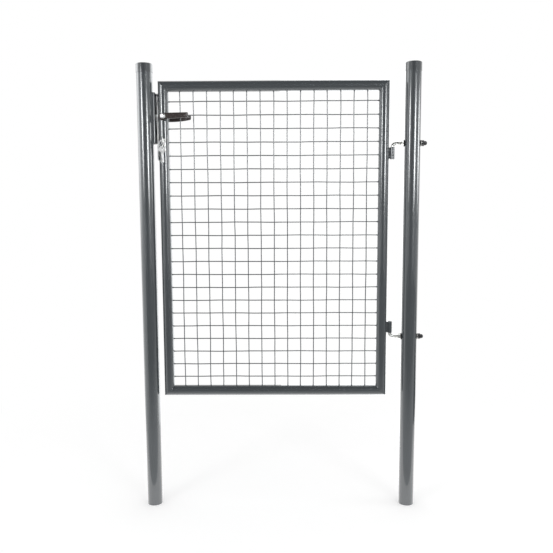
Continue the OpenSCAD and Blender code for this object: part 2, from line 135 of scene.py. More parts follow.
def make(name, body, finish, surfaces, stands_for=(), sharp=32, modifiers=()):
    """Builds a piece from (points, loop) or (points, loop, kept cells). Points have the shape (rows,
    columns, 3), or (copies, rows, columns, 3) for a shape that is repeated. The doubles are merged, the
    faces are turned outwards, and edges that turn by more than `sharp` degrees stay crisp. Last, the
    normals are weighted by area, so that a long wall shades flat right up to its rounded rim."""
    corners, faces, used = [], [], 0
    for points, loop, *kept in surfaces:
        rows, columns = points.shape[-3:-1]
        cells = grid_faces(rows, columns, loop)
        cells = cells[kept[0]] if kept else cells.reshape(-1, 4)
        copies = points.size // (rows * columns * 3)
        first = used + np.arange(copies) * rows * columns
        faces.append((cells + first[:, None, None]).reshape(-1, 4))
        corners.append(points.reshape(-1, 3))
        used += len(corners[-1])
    mesh = bpy.data.meshes.new(name)
    mesh.from_pydata(np.concatenate(corners).tolist(), [], np.concatenate(faces).tolist())
    shell = bmesh.new()
    shell.from_mesh(mesh)
    bmesh.ops.remove_doubles(shell, verts=shell.verts, dist=1e-6)
    bmesh.ops.recalc_face_normals(shell, faces=shell.faces)
    shell.to_mesh(mesh)
    shell.free()
    mesh.shade_smooth()
    mesh.set_sharp_from_angle(angle=math.radians(sharp))
    mesh.materials.append(finish)
    piece = add_object(name, mesh)
    for kind, settings in (*modifiers, ("WEIGHTED_NORMAL", {"keep_sharp": True})):
        modifier = piece.modifiers.new(kind.title(), kind)
        for key, value in settings.items():
            setattr(modifier, key, value)
    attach(piece, body)
    if stands_for:
        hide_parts(*stands_for)
    size = np.ptp(np.concatenate(corners), axis=0) / MM
    print(f"{name}: {len(mesh.polygons)} faces, {size.round(1)} mm")


# %% [markdown]
# ## Shader maths
#
# Every finish here is a small network of shader nodes. Nodes can be added by hand in the editor, but
# written as a script they read best as sums: `0.2 + 0.1 * dust`. So an output socket is wrapped in a
# class whose + - * / add Math nodes, and one method adds every other kind of node. It sets the node's
# settings first, because some of them, such as a Mix node's data type, change which sockets it has.

# %% Node outputs that can be added and multiplied
class Signal:
    """One output of a shader node. Arithmetic on it adds Math nodes to the same network."""

    def __init__(self, network, socket):
        self.network, self.socket = network, socket

    def math(self, operation, first, second):
        """A Math node that works on two signals, or on a signal and a number."""
        return self.network.node("ShaderNodeMath", {"operation": operation}, {0: first, 1: second})

    def __add__(self, other):
        return self.math("ADD", self, other)

    def __sub__(self, other):
        return self.math("SUBTRACT", self, other)

    def __rsub__(self, other):
        return self.math("SUBTRACT", other, self)

    def __mul__(self, other):
        return self.math("MULTIPLY", self, other)

    __radd__, __rmul__ = __add__, __mul__


# %% A network of nodes
class Network:
    """The shader nodes of a material or of the world."""

    def __init__(self, owner):
        owner.use_nodes = True
        self.owner, self.tree = owner, owner.node_tree

    def node(self, kind, settings=None, inputs=None, output=0):
        """Adds a node, gives it its settings, such as a Math node's operation, then its inputs by name
        or number. The output asked for comes back as a signal."""
        made = self.tree.nodes.new(kind)
        for key, value in (settings or {}).items():
            setattr(made, key, value)
        for key, value in (inputs or {}).items():
            self.feed(made.inputs[key], value)
        return Signal(self, made.outputs[output])

    def feed(self, socket, value):
        """Links a signal to a socket, or writes a plain value on it."""
        if isinstance(value, Signal):
            self.tree.links.new(value.socket, socket)
        elif hasattr(value, "__len__") and socket.type == "RGBA":
            socket.default_value = (*value, 1)
        else:
            socket.default_value = value

    def noise(self, scale, detail, where=None):
        """Cloudy noise between 0 and 1, with about `scale` clouds to the metre, in which each further
        layer of `detail` is twice as fine."""
        inputs = {"Vector": where or self.place, "Scale": scale, "Detail": detail}
        return self.node("ShaderNodeTexNoise", {}, inputs)

    def stretch(self, scale):
        """The place on the piece, drawn out or pressed together along X, Y and Z."""
        return self.node("ShaderNodeMapping", {}, {"Vector": self.place, "Scale": scale})

    def fade(self, value, start, end):
        """0 below `start` and 1 above `end`, with a soft step between them."""
        inputs = {"Value": value, "From Min": start, "From Max": end}
        return self.node("ShaderNodeMapRange", {"interpolation_type": "SMOOTHSTEP"}, inputs)

    def blend(self, share, first, second):
        """The first colour where `share` is 0 and the second where it is 1. A Mix node keeps a set of
        sockets for each kind of data, and these are the numbers of those for colours."""
        return self.node("ShaderNodeMix", {"data_type": "RGBA"}, {0: share, 6: first, 7: second}, 2)

    def end(self, kind, surface):
        """Adds the output node that the network leads to."""
        output = self.tree.nodes.new(kind)
        self.feed(output.inputs["Surface"], surface)
        return self.owner


trial = Network(bpy.data.materials.new("trial"))
trial.tree.nodes.clear()
total = 0.2 + 0.1 * trial.node("ShaderNodeTexNoise")
print(f"0.2 + 0.1 * noise becomes {[node.name for node in total.network.tree.nodes]}")
bpy.data.materials.remove(trial.owner)


# %% A material for one kind of surface
class Finish(Network):
    """A material of its own, which keeps the name of the frame's slot that it belongs to."""

    def __init__(self, name, slot):
        super().__init__(bpy.data.materials.new(name))
        self.owner["slot"] = slot
        self.shader = self.tree.nodes["Principled BSDF"]
        self.place = self.node("ShaderNodeTexCoord", {}, {}, "Object")

    def surface(self, **sockets):
        """Sets the shader's own sockets. An underscore in a name stands for a space."""
        for name, value in sockets.items():
            self.feed(self.shader.inputs[name.replace("_", " ")], value)
        return self.owner

    def bump(self, height, distance, under=None):
        """A normal that follows a height, where a height of 1 stands `distance` metres proud."""
        inputs = {"Height": height, "Distance": distance, "Strength": 1.0}
        if under:
            inputs["Normal"] = under
        return self.node("ShaderNodeBump", {}, inputs)


def count_nodes(*finishes):
    """Prints how many nodes each finish is made of."""
    for finish in finishes:
        print(f"{finish.name}, for {finish['slot']}: {len(finish.node_tree.nodes)} nodes")


# %% [markdown]
# ## The finishes
#
# The tubes, the mesh and the strike box are sprayed with dark grey powder and baked. The powder melts
# into a glossy coat that is a little uneven, like the skin of an orange, and gathers a few specks of
# dust. That could be painted as an image, but it would blur close up and show its edges where it
# repeats, so it is made from noise: a fine one for the orange skin, a broad one for the slight waves of
# the rolled tube, and sparse spots for the specks.

# %% Powder-coated steel
CLEAR_COAT = {"Coat_Roughness": 0.03, "Coat_IOR": 1.6}
MICRON = 1e-6


def powder_coat():
    """Dark grey powder: waves a millimetre deep and as broad as a hand, with orange skin on them."""
    wave_depth, skin_depth = 1100 * MICRON, 12 * MICRON
    dark, light, dust = (0.056, 0.064, 0.070), (0.068, 0.077, 0.084), (0.16, 0.17, 0.18)
    coat = Finish("grey_powder_coat", "coated_steel")
    cloud = coat.noise(9, 3)
    specks = coat.fade(coat.noise(900, 1), 0.74, 0.80)
    colour = coat.blend(specks * 0.35, coat.blend(cloud, dark, light), dust)
    waves = coat.bump(coat.noise(14, 1), wave_depth)
    skin = coat.bump(coat.noise(420, 2) + 0.5 * specks, skin_depth, waves)
    return coat.surface(
        Base_Color=colour,
        Roughness=0.20 + 0.10 * coat.noise(35, 3),
        Normal=skin,
        Coat_Weight=1.0,
        **CLEAR_COAT,
    )


COAT = powder_coat()
count_nodes(COAT)


# %% [markdown]
# Hook pins, nuts and the lock's plate are zinc plated. Zinc is a soft, slightly yellow grey metal whose
# bath leaves cloudy patches, and its drawn rods keep fine lines along their length. A metallic shader
# with a noise in its roughness gives the clouds, and a second noise pressed together along one axis
# gives the lines. The cylinder and the dead bolt are nickel, and so are the keys and the lever necks,
# which handling has dulled: they get a rougher nickel from the same function. Their nickel, which the
# latch bolt shares, is also painted lighter than the plating itself, as painted light, so that they read
# as brightly lit.

# %% Zinc and nickel plating
def zinc_plating(name, dark, light):
    """Zinc on steel: patches of two greys, clouds of gloss, and drawn lines along X."""
    zinc = Finish(name, "zinc_plated_steel")
    cloud = zinc.noise(70, 4)
    drawn = zinc.noise(1, 2, zinc.stretch((300, 2500, 2500)))
    patches = zinc.fade(zinc.noise(260, 3), 0.35, 0.65)
    return zinc.surface(
        Base_Color=zinc.blend(patches, dark, light),
        Metallic=1.0,
        Roughness=0.26 + 0.20 * cloud + 0.06 * drawn,
        Normal=zinc.bump(drawn + 0.6 * cloud, 10 * MICRON),
    )


def nickel_plating(name, satin, dark=(0.78, 0.775, 0.765), light=(0.90, 0.895, 0.88)):
    """Nickel on brass. `satin` is the least roughness, and smears and scratches add to it."""
    nickel = Finish(name, "polished_nickel")
    smears = nickel.noise(120, 4)
    rubbed = nickel.noise(1, 1, nickel.stretch((3500, 240, 3500)))
    scratches = nickel.fade(rubbed, 0.66, 0.72)
    return nickel.surface(
        Base_Color=nickel.blend(smears, dark, light),
        Metallic=1.0,
        Roughness=satin + 0.10 * smears + 0.12 * scratches,
        Normal=nickel.bump(scratches, 6 * MICRON),
    )


ZINC = zinc_plating("zinc_plating", (0.66, 0.66, 0.64), (0.80, 0.795, 0.765))
PLATE_ZINC = zinc_plating("plate_zinc", (0.60, 0.595, 0.60), (0.76, 0.755, 0.76))
NICKEL = nickel_plating("satin_nickel", satin=0.20)
# The keys' and the levers' nickel is painted lighter than the plating: painted light, so that they read as
# brightly lit.
KEY_NICKEL_PAINTED_LIGHT = nickel_plating("key_nickel", 0.36, (0.86, 0.86, 0.855), (0.95, 0.95, 0.945))
LEVER_METAL_PAINTED_LIGHT = nickel_plating("lever_metal", 0.40, (0.86, 0.86, 0.86), (0.95, 0.95, 0.95))
count_nodes(ZINC, PLATE_ZINC, NICKEL, KEY_NICKEL_PAINTED_LIGHT, LEVER_METAL_PAINTED_LIGHT)


# %% [markdown]
# The post caps are moulded in the grey of the posts and as glossy, which a clear coat gives them. The
# cap nuts are black, the lever grips and roses a browner plastic with a satin skin, and the washers
# against the post are rubber. Moulded plastic is never quite flat: it sinks a little as it cools, and
# its mould leaves a fine grain. So these share one function that is given the colours, the gloss, how
# deep the grain is and how much of a clear coat lies on top.

# %% Moulded plastics and rubber
def moulded(name, slot, dark, light, gloss, grain, lacquer=0.0):
    """A moulded finish: broad clouds in colour and gloss, a grain `grain` metres deep, and a clear
    lacquer where its weight is given."""
    plastic = Finish(name, slot)
    cloud = plastic.noise(60, 3)
    rub = plastic.fade(plastic.noise(160, 4), 0.55, 0.75)
    sink = plastic.bump(plastic.noise(45, 1), 180 * MICRON)
    return plastic.surface(
        Base_Color=plastic.blend(0.7 * cloud + 0.3 * rub, dark, light),
        Roughness=gloss + 0.12 * rub,
        Normal=plastic.bump(plastic.noise(1500, 2), grain, sink),
        Coat_Weight=lacquer,
        **CLEAR_COAT,
    )


CAP = moulded(
    "cap_plastic", "cap_plastic", dark=(0.050, 0.056, 0.060), light=(0.070, 0.077, 0.082),
    gloss=0.10, grain=3 * MICRON, lacquer=1.0,
)
NUT_CAP = moulded(
    "nut_plastic", "cap_plastic", dark=(0.022, 0.022, 0.024), light=(0.044, 0.044, 0.047),
    gloss=0.16, grain=3 * MICRON,
)
GRIP = moulded(
    "grip_plastic", "grip_plastic", dark=(0.034, 0.027, 0.026), light=(0.062, 0.050, 0.048),
    gloss=0.24, grain=9 * MICRON,
)
RUBBER = moulded(
    "black_rubber", "black_rubber", dark=(0.018, 0.018, 0.018), light=(0.040, 0.040, 0.039),
    gloss=0.55, grain=20 * MICRON,
)
count_nodes(CAP, NUT_CAP, GRIP, RUBBER)


# %% [markdown]
# ## Posts and caps
#
# A post is a rolled and seam-welded tube with a disc closing its foot. A plain cylinder would do for
# the outline, but not for the finish: its rim would be knife sharp and would catch no light. So the
# post is turned from a profile that runs up the outside, over a rounded rim and down the inside. One
# column of points, at the rear, stands a hair proud as the tube's seam. Three helpers come first: one
# turns numbers into points, one rounds the corners of an outline, and one turns the outline about an
# axis.

# %% Points round an axis
def stand(u, v, h, axis):
    """Points from two numbers across an axis and one along it. Across Z lie X and Y, across Y lie X and
    Z, and across X lie Y and Z."""
    u, v, h = np.broadcast_arrays(u, v, h)
    order = {"X": (h, u, v), "Y": (u, h, v), "Z": (u, v, h)}
    return np.stack(order[axis], -1)


def angles(count):
    """Evenly spaced angles round a full turn, without the last one, which is the first again."""
    return np.arange(count) * TAU / count


print(f"the first of 8 angles, in degrees: {np.degrees(angles(8)[:3])}")


# %% Rounded corners and turned shapes
def soften(corners, cut, steps=5):
    """Rounds the corners of an outline. Each corner c becomes the parabola
    (1 - t)^2 a + 2 t (1 - t) c + t^2 b, where a and b lie on its two edges, `cut` away from it. A corner
    whose cut is 0 stays sharp."""
    corners = np.asarray(corners, float)
    last, following = np.roll(corners, 1, 0) - corners, np.roll(corners, -1, 0) - corners
    last /= np.linalg.norm(last, axis=1, keepdims=True)
    following /= np.linalg.norm(following, axis=1, keepdims=True)
    cut = np.broadcast_to(cut, len(corners))[:, None, None]
    middle = corners[:, None]
    t = np.linspace(0, 1, steps)[None, :, None]
    a, b = middle + cut * last[:, None], middle + cut * following[:, None]
    curve = (1 - t) ** 2 * a + 2 * t * (1 - t) * middle + t**2 * b
    return curve.reshape(-1, corners.shape[1])


def lathe(profile, centre, axis="Z", sides=96):
    """Turns a profile of (radius, height) points about an axis through `centre`. At the angle a, a point
    lies radius * cos a and radius * sin a across the axis, and its height along it. A profile with one
    more axis in front differs from angle to angle."""
    radius, height = np.moveaxis(np.asarray(profile, float), -1, 0)
    a = angles(sides)[:, None]
    return stand(radius * np.cos(a), radius * np.sin(a), height, axis) + centre


def box(node):
    """Lowest and highest corner of a node of the frame, as an array of two rows, in metres."""
    return np.array(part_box(node), float)


print(f"a square with rounded corners has {len(soften([(0, 0), (1, 0), (1, 1), (0, 1)], 0.1))} points")


# %% Two posts
def post_profile(radius, wall, length, foot):
    """Half of the post's section: foot disc, outside, rim, inside and the disc's upper face."""
    rim, fillet = 0.5 * MM, 1.5 * MM
    outline = [
        (0, 0), (radius, 0), (radius, length), (radius - wall, length), (radius - wall, foot), (0, foot),
    ]
    return soften(outline, [0, rim, rim, rim, fillet, 0])


def lift_seam(points, centre, turn, height):
    """Lifts the one column of points at the given share of a turn away from the axis."""
    column = round(turn * len(points))
    spoke = points[column] - centre
    spoke[:, 2] = 0
    radius = np.linalg.norm(spoke, axis=1, keepdims=True)
    points[column] += height * spoke / np.where(radius > 0, radius, 1)


post_wall, foot_thickness = 2 * MM, 2 * MM
seam_turn, seam_height = 0.3, 0.12 * MM
for node in ("hinge_post", "latch_post"):
    low, high = box(node)
    centre = (low + high) / 2 * (1, 1, 0)
    radius = (high[1] - low[1]) / 2
    skin = lathe(post_profile(radius, post_wall, high[2], foot_thickness), centre)
    lift_seam(skin, centre, seam_turn, seam_height)
    make(f"{node}_tube", "posts", COAT, [(skin, "rows")], stands_for=[node])


# %% [markdown]
# The caps are pushed over the posts. Each is one moulding: a thin skirt, a rounded shoulder and a
# shallow dome, with the small pip in the middle where the plastic was injected. All of it is one
# profile again. The dome is an arc of a large circle, and the shoulder is a parabola.

# %% Two caps
def cap_profile(bore, radius, low, high, roof, dome):
    """Inside of the cap from its roof down the skirt, round its hem, up the outside, over the shoulder
    and along the dome's arc to the pip."""
    shoulder, hem, soft = 2.2 * MM, 0.35 * MM, 1 * MM
    pip_foot, pip_top = 2.6 * MM, 2.2 * MM
    ball = (radius**2 + dome**2) / (2 * dome)
    outer, inner = 0.94 * math.asin(radius / ball), 0.12
    a = np.linspace(outer, inner, 12)
    arc = np.stack([ball * np.sin(a), high - ball * (1 - np.cos(a))], 1)
    walls = [
        (0, roof), (bore, roof), (bore, low), (radius, low), (radius, high - dome), arc[0],
    ]
    skirt = soften(walls, [0, soft, hem, hem, shoulder, 0])
    pip = [(pip_foot, arc[-1, 1]), (pip_top, high), (0, high)]
    return np.concatenate([skirt, arc[1:-1], pip])


cap_wall, cap_play, cap_dome = 0.9 * MM, 0.15 * MM, 3.6 * MM
for node in ("hinge_post_cap", "latch_post_cap"):
    low, high = box(node)
    roof = box(node.removesuffix("_cap"))[1, 2] + cap_play
    radius = (high[0] - low[0]) / 2
    profile = cap_profile(radius - cap_wall, radius, low[2], high[2], roof, cap_dome)
    cap = lathe(profile, (low + high) / 2 * (1, 1, 0))
    make(f"{node}_moulding", "posts", CAP, [(cap, "rows")], stands_for=[node])


# %% [markdown]
# ## The leaf's frame
#
# Four lengths of tube are sawn at 45 degrees, welded into a rectangle, and the welds are ground down
# before the powder goes on. The sawn end follows from one rule: going round the tube, the cut moves in
# by exactly as much as the point lies towards the frame's middle. The ground weld stays as a low bead
# round each mitre, an ellipse carried round the joint. A window is milled into the lock stile, for the
# lock's case and bolts. The forend hides it, but the latch bolt needs it to be drawn back. Here the
# window's cells are left out of both skins of the tube, and a strip of wall is added round its edge.

# %% A mitred tube, and a window in it
leaf_low = box("bottom_rail")[0]
leaf_high = box("top_rail")[1]
frame_r = (leaf_high[1] - leaf_low[1]) / 2
frame_wall = 1.5 * MM
tube_sides, tube_rows, frame_seam = 96, 24, 0.31
window_play = 1 * MM


def mitred_tube(start, along, inward, length, shares):
    """A tube whose axis starts at `start` on the frame's edge. At the angle a round it, the cut lies
    frame_r + r * sin a along the axis, where r is the outer or the inner radius. `shares` says where
    its points lie between the two cuts, up the outer skin and back down the inner one. The tube's own
    seam is a column of points on the side of the mesh, which stands a hair proud."""
    a = angles(tube_sides)[:, None]
    t = np.concatenate([shares, shares[::-1]])
    r = np.repeat([frame_r, frame_r - frame_wall], len(shares))
    on_seam = (np.arange(tube_sides) == round(frame_seam * tube_sides))[:, None]
    r = r + seam_height * on_seam * (r == frame_r)
    cut = frame_r + r * np.sin(a)
    distance = cut + t * (length - 2 * cut)
    spokes = (r * np.cos(a))[..., None] * Y + (r * np.sin(a))[..., None] * inward
    return start + distance[..., None] * along + spokes


def window(tube, i0, i1, j0, j1):
    """A window in a tube, from row i0 to i1 and column j0 to j1 of its outer skin. Gives the cells that
    stay, and the strip of wall round the window's edge from the outer skin to the inner one."""
    back = tube.shape[1] - 1
    kept = np.ones(tube.shape[:2], bool)
    kept[i0:i1, j0:j1] = False
    kept[i0:i1, back - j1 : back - j0] = False
    up, across = np.arange(i0, i1), np.arange(j0, j1)
    i = np.concatenate([up, np.full(len(across), i1), up[::-1] + 1, np.full(len(across), i0)])
    j = np.concatenate([np.full(len(up), j0), across, np.full(len(up), j1), across[::-1] + 1])
    return kept, np.stack([tube[i, j], tube[i, back - j]])


print(f"the frame's tubes are {2 * frame_r / MM:.1f} mm across")


# %% Four mitred tubes
width, height = leaf_high[0] - leaf_low[0], leaf_high[2] - leaf_low[2]
left, right, bottom, top = leaf_low[0], leaf_high[0], leaf_low[2], leaf_high[2]
tubes = {
    "bottom_rail": ((left, 0, bottom + frame_r), X, Z, width),
    "top_rail": ((left, 0, top - frame_r), X, -Z, width),
    "lock_stile": ((left + frame_r, 0, bottom), Z, X, height),
    "hinge_stile": ((right - frame_r, 0, bottom), Z, -X, height),
}
case_low, case_high = box("lock_case")
window_ends = (np.array((case_low[2] - window_play, case_high[2] + window_play)) - bottom) / height
window_half = math.asin((case_high[1] - case_low[1]) / 2 / (frame_r - frame_wall))
shares = np.union1d(np.linspace(0, 1, tube_rows), window_ends)
for node, (start, along, inward, length) in tubes.items():
    tube = mitred_tube(np.array(start), along, inward, length, shares)
    surfaces = [(tube, "both")]
    if node == "lock_stile":
        outward = round(0.75 * tube_sides)
        half = math.ceil(window_half / TAU * tube_sides)
        ends = np.searchsorted(shares, window_ends)
        kept, wall = window(tube, outward - half, outward + half, *ends)
        surfaces = [(tube, "both", kept), (wall, "columns")]
    make(f"{node}_tube", "leaf", COAT, surfaces, stands_for=[node])


# %% [markdown]
# A weld bead is a section that follows a line, as a rope would. Blender can do that with a curve and a
# bevel object, but such a section can't swell and thin on its way. So the section is carried along in
# numbers: at each point of the path it stands square to the path.

# %% Shapes carried along a path
def carry(path, side, section, closed=False):
    """Carries a section along a path that lies in one plane. The first number of a section point is
    measured along `side`, the normal of that plane, and the second along tangent x side. A section
    with one more axis changes from point to point of the path."""
    step = np.roll(path, -1, 0) - np.roll(path, 1, 0) if closed else np.gradient(path, axis=0)
    tangent = step / np.linalg.norm(step, axis=1, keepdims=True)
    beside = np.cross(tangent, side)[:, None]
    return path[:, None] + section[..., :1] * side + section[..., 1:] * beside


print(f"one step of a path along X: {carry(np.outer(range(3), X), Y, np.ones((1, 2)))[1, 0]}")


# %% Weld beads
swelling, bead_sides = 0.12, 12


def bead(path, side, width, height, ripple, closed=False, size=1.0):
    """A weld bead along a joint: an oval, `width` across the joint and standing `height` proud, that
    swells and thins once every `ripple`. An open bead shrinks to a point at both ends. `size` scales
    the oval, and may change along the path."""
    steps = np.linalg.norm(np.diff(path, axis=0), axis=1)
    along = np.concatenate([[0], np.cumsum(steps)])
    swell = size * (1 + swelling * np.sin(TAU * along / ripple))
    if not closed:
        t = 2 * along / along[-1] - 1
        swell = swell * np.sqrt(np.clip(1 - t**6, 0, 1))
    a = angles(bead_sides)
    oval = np.stack([width / 2 * np.cos(a), height * np.sin(a)], 1)
    points = carry(path, side, swell[:, None, None] * oval, closed)
    return points, "both" if closed else "columns"


print(f"a bead swells and thins by {swelling:.0%}")


# %% Four ground mitre welds
ground, least_bead = 1.25, 0.02


def mitre_weld(corner, inward):
    """The bead round one mitre. The joint is the ellipse corner + frame_r * (cos a Y + sin a inward).
    The bead's size is 1 + ground * sin a, at most 1, so it thins out to nothing towards the outer tip,
    where it is ground flush."""
    a = angles(120)
    path = corner + frame_r * (np.cos(a)[:, None] * Y + np.sin(a)[:, None] * inward)
    side = np.cross(inward, Y) / math.sqrt(2)
    size = np.clip(1 + ground * np.sin(a), least_bead, 1)
    return bead(path, side, width=5 * MM, height=0.45 * MM, ripple=3 * MM, closed=True, size=size)


welds = [
    mitre_weld(np.array((x, 0, z)), inward)
    for x, z, inward in (
        (left + frame_r, top - frame_r, X - Z), (right - frame_r, top - frame_r, -X - Z),
        (left + frame_r, bottom + frame_r, X + Z), (right - frame_r, bottom + frame_r, -X + Z),
    )
]
make("mitre_welds", "leaf", COAT, welds, sharp=60)


# %% [markdown]
# ## The wire mesh
#
# The mesh is two layers of 4 mm wire, welded to each other wherever they cross and to the frame.
# Drawn wire is never quite straight, so each one here wanders by about half a millimetre: the sum of
# three waves whose phases come from a seeded generator, so that every run gives the same mesh. At each
# crossing the welder has squeezed a small lump out of the two wires, and each end has a larger one.

# %% Where the wires lie
wire_r, pitch, margin = 2 * MM, 50 * MM, 20 * MM
bite, pressed, into_tube = 0.4 * MM, 0.86, 1.2 * MM
panel_low, panel_high = box("mesh_panel")
panel_size, panel_middle = panel_high - panel_low, (panel_low + panel_high) / 2
wander = np.random.default_rng(12)


def wire_places(size, middle):
    """Evenly spaced wires about the middle: as many whole spaces as fit between the margins."""
    spaces = int((size - 2 * margin) / pitch + 0.01)
    return middle + (np.arange(spaces + 1) - spaces / 2) * pitch


def strays(count):
    """For each wire, three waves of falling height: amplitude * sin(TAU * place / length + phase)."""
    lengths = np.array([0.47, 0.21, 0.09])
    heights = np.array([0.50, 0.30, 0.14]) * MM
    phases = wander.uniform(0, TAU, (count, 1, 3))
    return lambda s: (heights * np.sin(TAU * s[..., None] / lengths + phases)).sum(-1)


upright_x = wire_places(panel_size[0], panel_middle[0])
level_z = wire_places(panel_size[2], panel_middle[2])
stray_x, stray_z = strays(len(upright_x)), strays(len(level_z))
print(f"{len(upright_x)} upright and {len(level_z)} level wires")


# %% Wires that wander
def wires(places, stray, ends, axis, depth, step=9 * MM, sides=8):
    """All wires of one layer at once. Along a wire s runs from end to end, and round it the angle a:
    across the wire lies place + stray(s) + wire_r * cos a, through the mesh depth + wire_r * sin a."""
    s = np.linspace(*ends, round((ends[1] - ends[0]) / step))
    a = angles(sides)
    line = places[:, None] + stray(s[None])
    across = line[..., None] + wire_r * np.cos(a)
    through = depth + wire_r * np.sin(a)
    if axis == "Z":
        return stand(across, through, s[:, None], "Z")
    return stand(s[:, None], through, across, "Z")


layer = (2 * wire_r - bite) / 2 * pressed
start, stop = panel_low - into_tube, panel_high + into_tube
upright = wires(upright_x, stray_x, (start[2], stop[2]), "Z", -layer)
level = wires(level_z, stray_z, (start[0], stop[0]), "X", layer)
print(f"the middles of the two layers lie {2 * layer / MM:.2f} mm apart")


# %% Lumps where wires are welded
cross_lump = np.array([3.0, 2.2, 3.0]) * MM
end_lump = np.array([2.8, 2.7, 5.0]) * MM


def lumps(centres, radii, rows=5, columns=8):
    """Small welds and drops: balls with the given radii along X, Y and Z, one at each centre. A point of
    the ball has the latitude p and the longitude a: cos p cos a, cos p sin a, sin p."""
    p = np.linspace(-math.pi / 2, math.pi / 2, rows)[:, None]
    a = angles(columns)
    ball = stand(np.cos(p) * np.cos(a), np.cos(p) * np.sin(a), np.sin(p), "Z")
    return np.asarray(centres)[:, None, None] + ball * np.asarray(radii)


def crossings():
    """Where each upright wire meets each level one, with both wires' wandering."""
    x = upright_x[:, None] + stray_x(level_z[None])
    z = level_z[:, None] + stray_z(upright_x[None])
    x, z = np.broadcast_arrays(x, z.T)
    return stand(x, 0, z, "Z").reshape(-1, 3)


def wire_ends():
    """Lumps where the wires meet the frame, drawn out along the wire."""
    corners = panel_low, panel_high
    upright_ends = [stand(upright_x + stray_x(c[2])[:, 0], -layer, c[2], "Z") for c in corners]
    level_ends = [stand(c[0], layer, level_z + stray_z(c[0])[:, 0], "Z") for c in corners]
    yield lumps(np.concatenate(upright_ends), end_lump, 7, 12), "columns"
    yield lumps(np.concatenate(level_ends), end_lump[::-1], 7, 12), "columns"


cross_lumps = lumps(crossings(), cross_lump)
mesh_surfaces = [(upright, "columns"), (level, "columns"), (cross_lumps, "columns"), *wire_ends()]
make("welded_mesh", "leaf", COAT, mesh_surfaces, stands_for=["mesh_panel"], sharp=50)


# %% [markdown]
# ## Hinges
#
# Each hinge is a rod, bent at a right angle, that passes through the post. Its short end points into a
# sleeve on the leaf. The rod is carried along its own line: straight, round the bend, straight again.
# Near the nut it has a thread, which is the same surface with a radius that follows a helix. Drawing
# the thread as a bump would look right from afar, but its outline would stay smooth.

# %% The line of a hook pin
rod_r, bend_r, thread_pitch, thread_depth = 6 * MM, 14 * MM, 1.75 * MM, 0.95 * MM
thread_seen, thread_in_nut = 11 * MM, 1 * MM
tip_rings, tip_shares = np.array([0, 0.6, 1.4]) * MM, (0, 0.72, 0.94)
end_chamfer, end_shares = 1.2 * MM, (0.9, 0)
straight_from, smooth_from = 4 * MM, 1 * MM


def pin_path(tip_z, rod_z, axis_x, end_x, thread_from, thread_to):
    """The line of a hook pin in the X-Z plane: up or down from its tip, a quarter turn, then along X.
    On the thread its points lie a seventh of a pitch apart."""
    way = math.copysign(1, rod_z - tip_z)
    b = np.linspace(0, math.pi / 2, 20)[1:-1]
    rise = np.linspace(tip_z + way * straight_from, rod_z - way * bend_r, 5)
    thread = np.arange(thread_from, thread_to, thread_pitch / 7)
    run = [axis_x + bend_r, thread_from - smooth_from, *thread, end_x - end_chamfer, end_x]
    x = np.concatenate([
        np.full(len(tip_rings) + len(rise), axis_x), axis_x + bend_r * (1 - np.cos(b)), run,
    ])
    z = np.concatenate([
        tip_z + way * tip_rings, rise, rod_z - way * bend_r * (1 - np.sin(b)), np.full(len(run), rod_z),
    ])
    return stand(x, 0, z, "Z")


print(f"a pin is {2 * rod_r / MM:.0f} mm thick and bends at a radius of {bend_r / MM:.0f} mm")


# %% Hook pins with a thread
def pin_section(path, thread_from, thread_to, sides=40):
    """Circles round the pin. The thread takes thread_depth * (1 + cos(TAU * x / pitch - a)) / 2 off the
    radius, and both ends are drawn in to a rounded tip."""
    a = angles(sides)
    x = path[:, :1]
    level = np.isclose(path[:, 2:], path[-1, 2])
    inside = level & (x >= thread_from) & (x <= thread_to)
    groove = thread_depth * (1 + np.cos(TAU * x / thread_pitch - a)) / 2
    radius = rod_r - np.where(inside, groove, 0)
    shares = np.ones((len(path), 1))
    shares[: len(tip_shares), 0] = tip_shares
    shares[-len(end_shares) :, 0] = end_shares
    radius = radius * shares
    return np.stack([radius * np.cos(a), radius * np.sin(a)], -1)


for place in ("upper", "lower"):
    low, high = box(f"{place}_hook_pin")
    nut_low, nut_high = box(f"{place}_inner_nut")
    rod_z = (nut_low[2] + nut_high[2]) / 2
    tip_z = low[2] if rod_z - low[2] > high[2] - rod_z else high[2]
    thread = (nut_low[0] - thread_seen, nut_low[0] + thread_in_nut)
    path = pin_path(tip_z, rod_z, low[0] + rod_r, high[0], *thread)
    rod = carry(path, Y, pin_section(path, *thread))
    make(f"{place}_pin_rod", "posts", ZINC, [(rod, "columns")], stands_for=[f"{place}_hook_pin"])


# %% [markdown]
# The nuts are hexagonal prisms whose corners are turned away at 30 degrees, which leaves the curved
# edge seen on every nut. Going round by the angle a, the flats stand half / cos(a - nearest flat) from
# the axis, and the cone takes off more height the further out a point lies. The cap nut is the same
# shape with a dome on it. Washers are rings turned from a small rounded rectangle.

# %% Hexagons
nut_sides, face_share, nut_slope = 96, 0.475, 0.7 * MM
cone = math.tan(math.radians(30))


def flats(across):
    """Distance of a hexagon's edge from its axis at each angle, with corners above and below."""
    a = angles(nut_sides)[:, None]
    sixth = TAU / 6
    return across / 2 / np.cos((a + sixth / 2) % sixth - sixth / 2)


def all_round(edge, pairs):
    """A profile from (radius, height) pairs. Each number is the same all round, or differs from angle to
    angle as `edge` does."""
    columns = [np.broadcast_arrays(radius, height, edge)[:2] for radius, height in pairs]
    return np.stack([np.concatenate(numbers, 1) for numbers in zip(*columns)], -1)


corner_share = flats(1).max() / flats(1).min()
print(f"the corners of a hexagon lie {corner_share:.3f} times as far out as its flats")


# %% Profiles of nuts and washers
def nut_profile(across, bore, low, high):
    """Bore, face, cone, flat, cone, face. On the cones the height changes by tan 30 of the radius."""
    edge, face, lip = flats(across), face_share * across, bore + nut_slope
    drop = (edge - face) * cone
    return all_round(edge, [
        (bore, low + nut_slope), (lip, low), (face, low), (edge, low + drop),
        (edge, high - drop), (face, high), (lip, high), (bore, high - nut_slope),
    ])


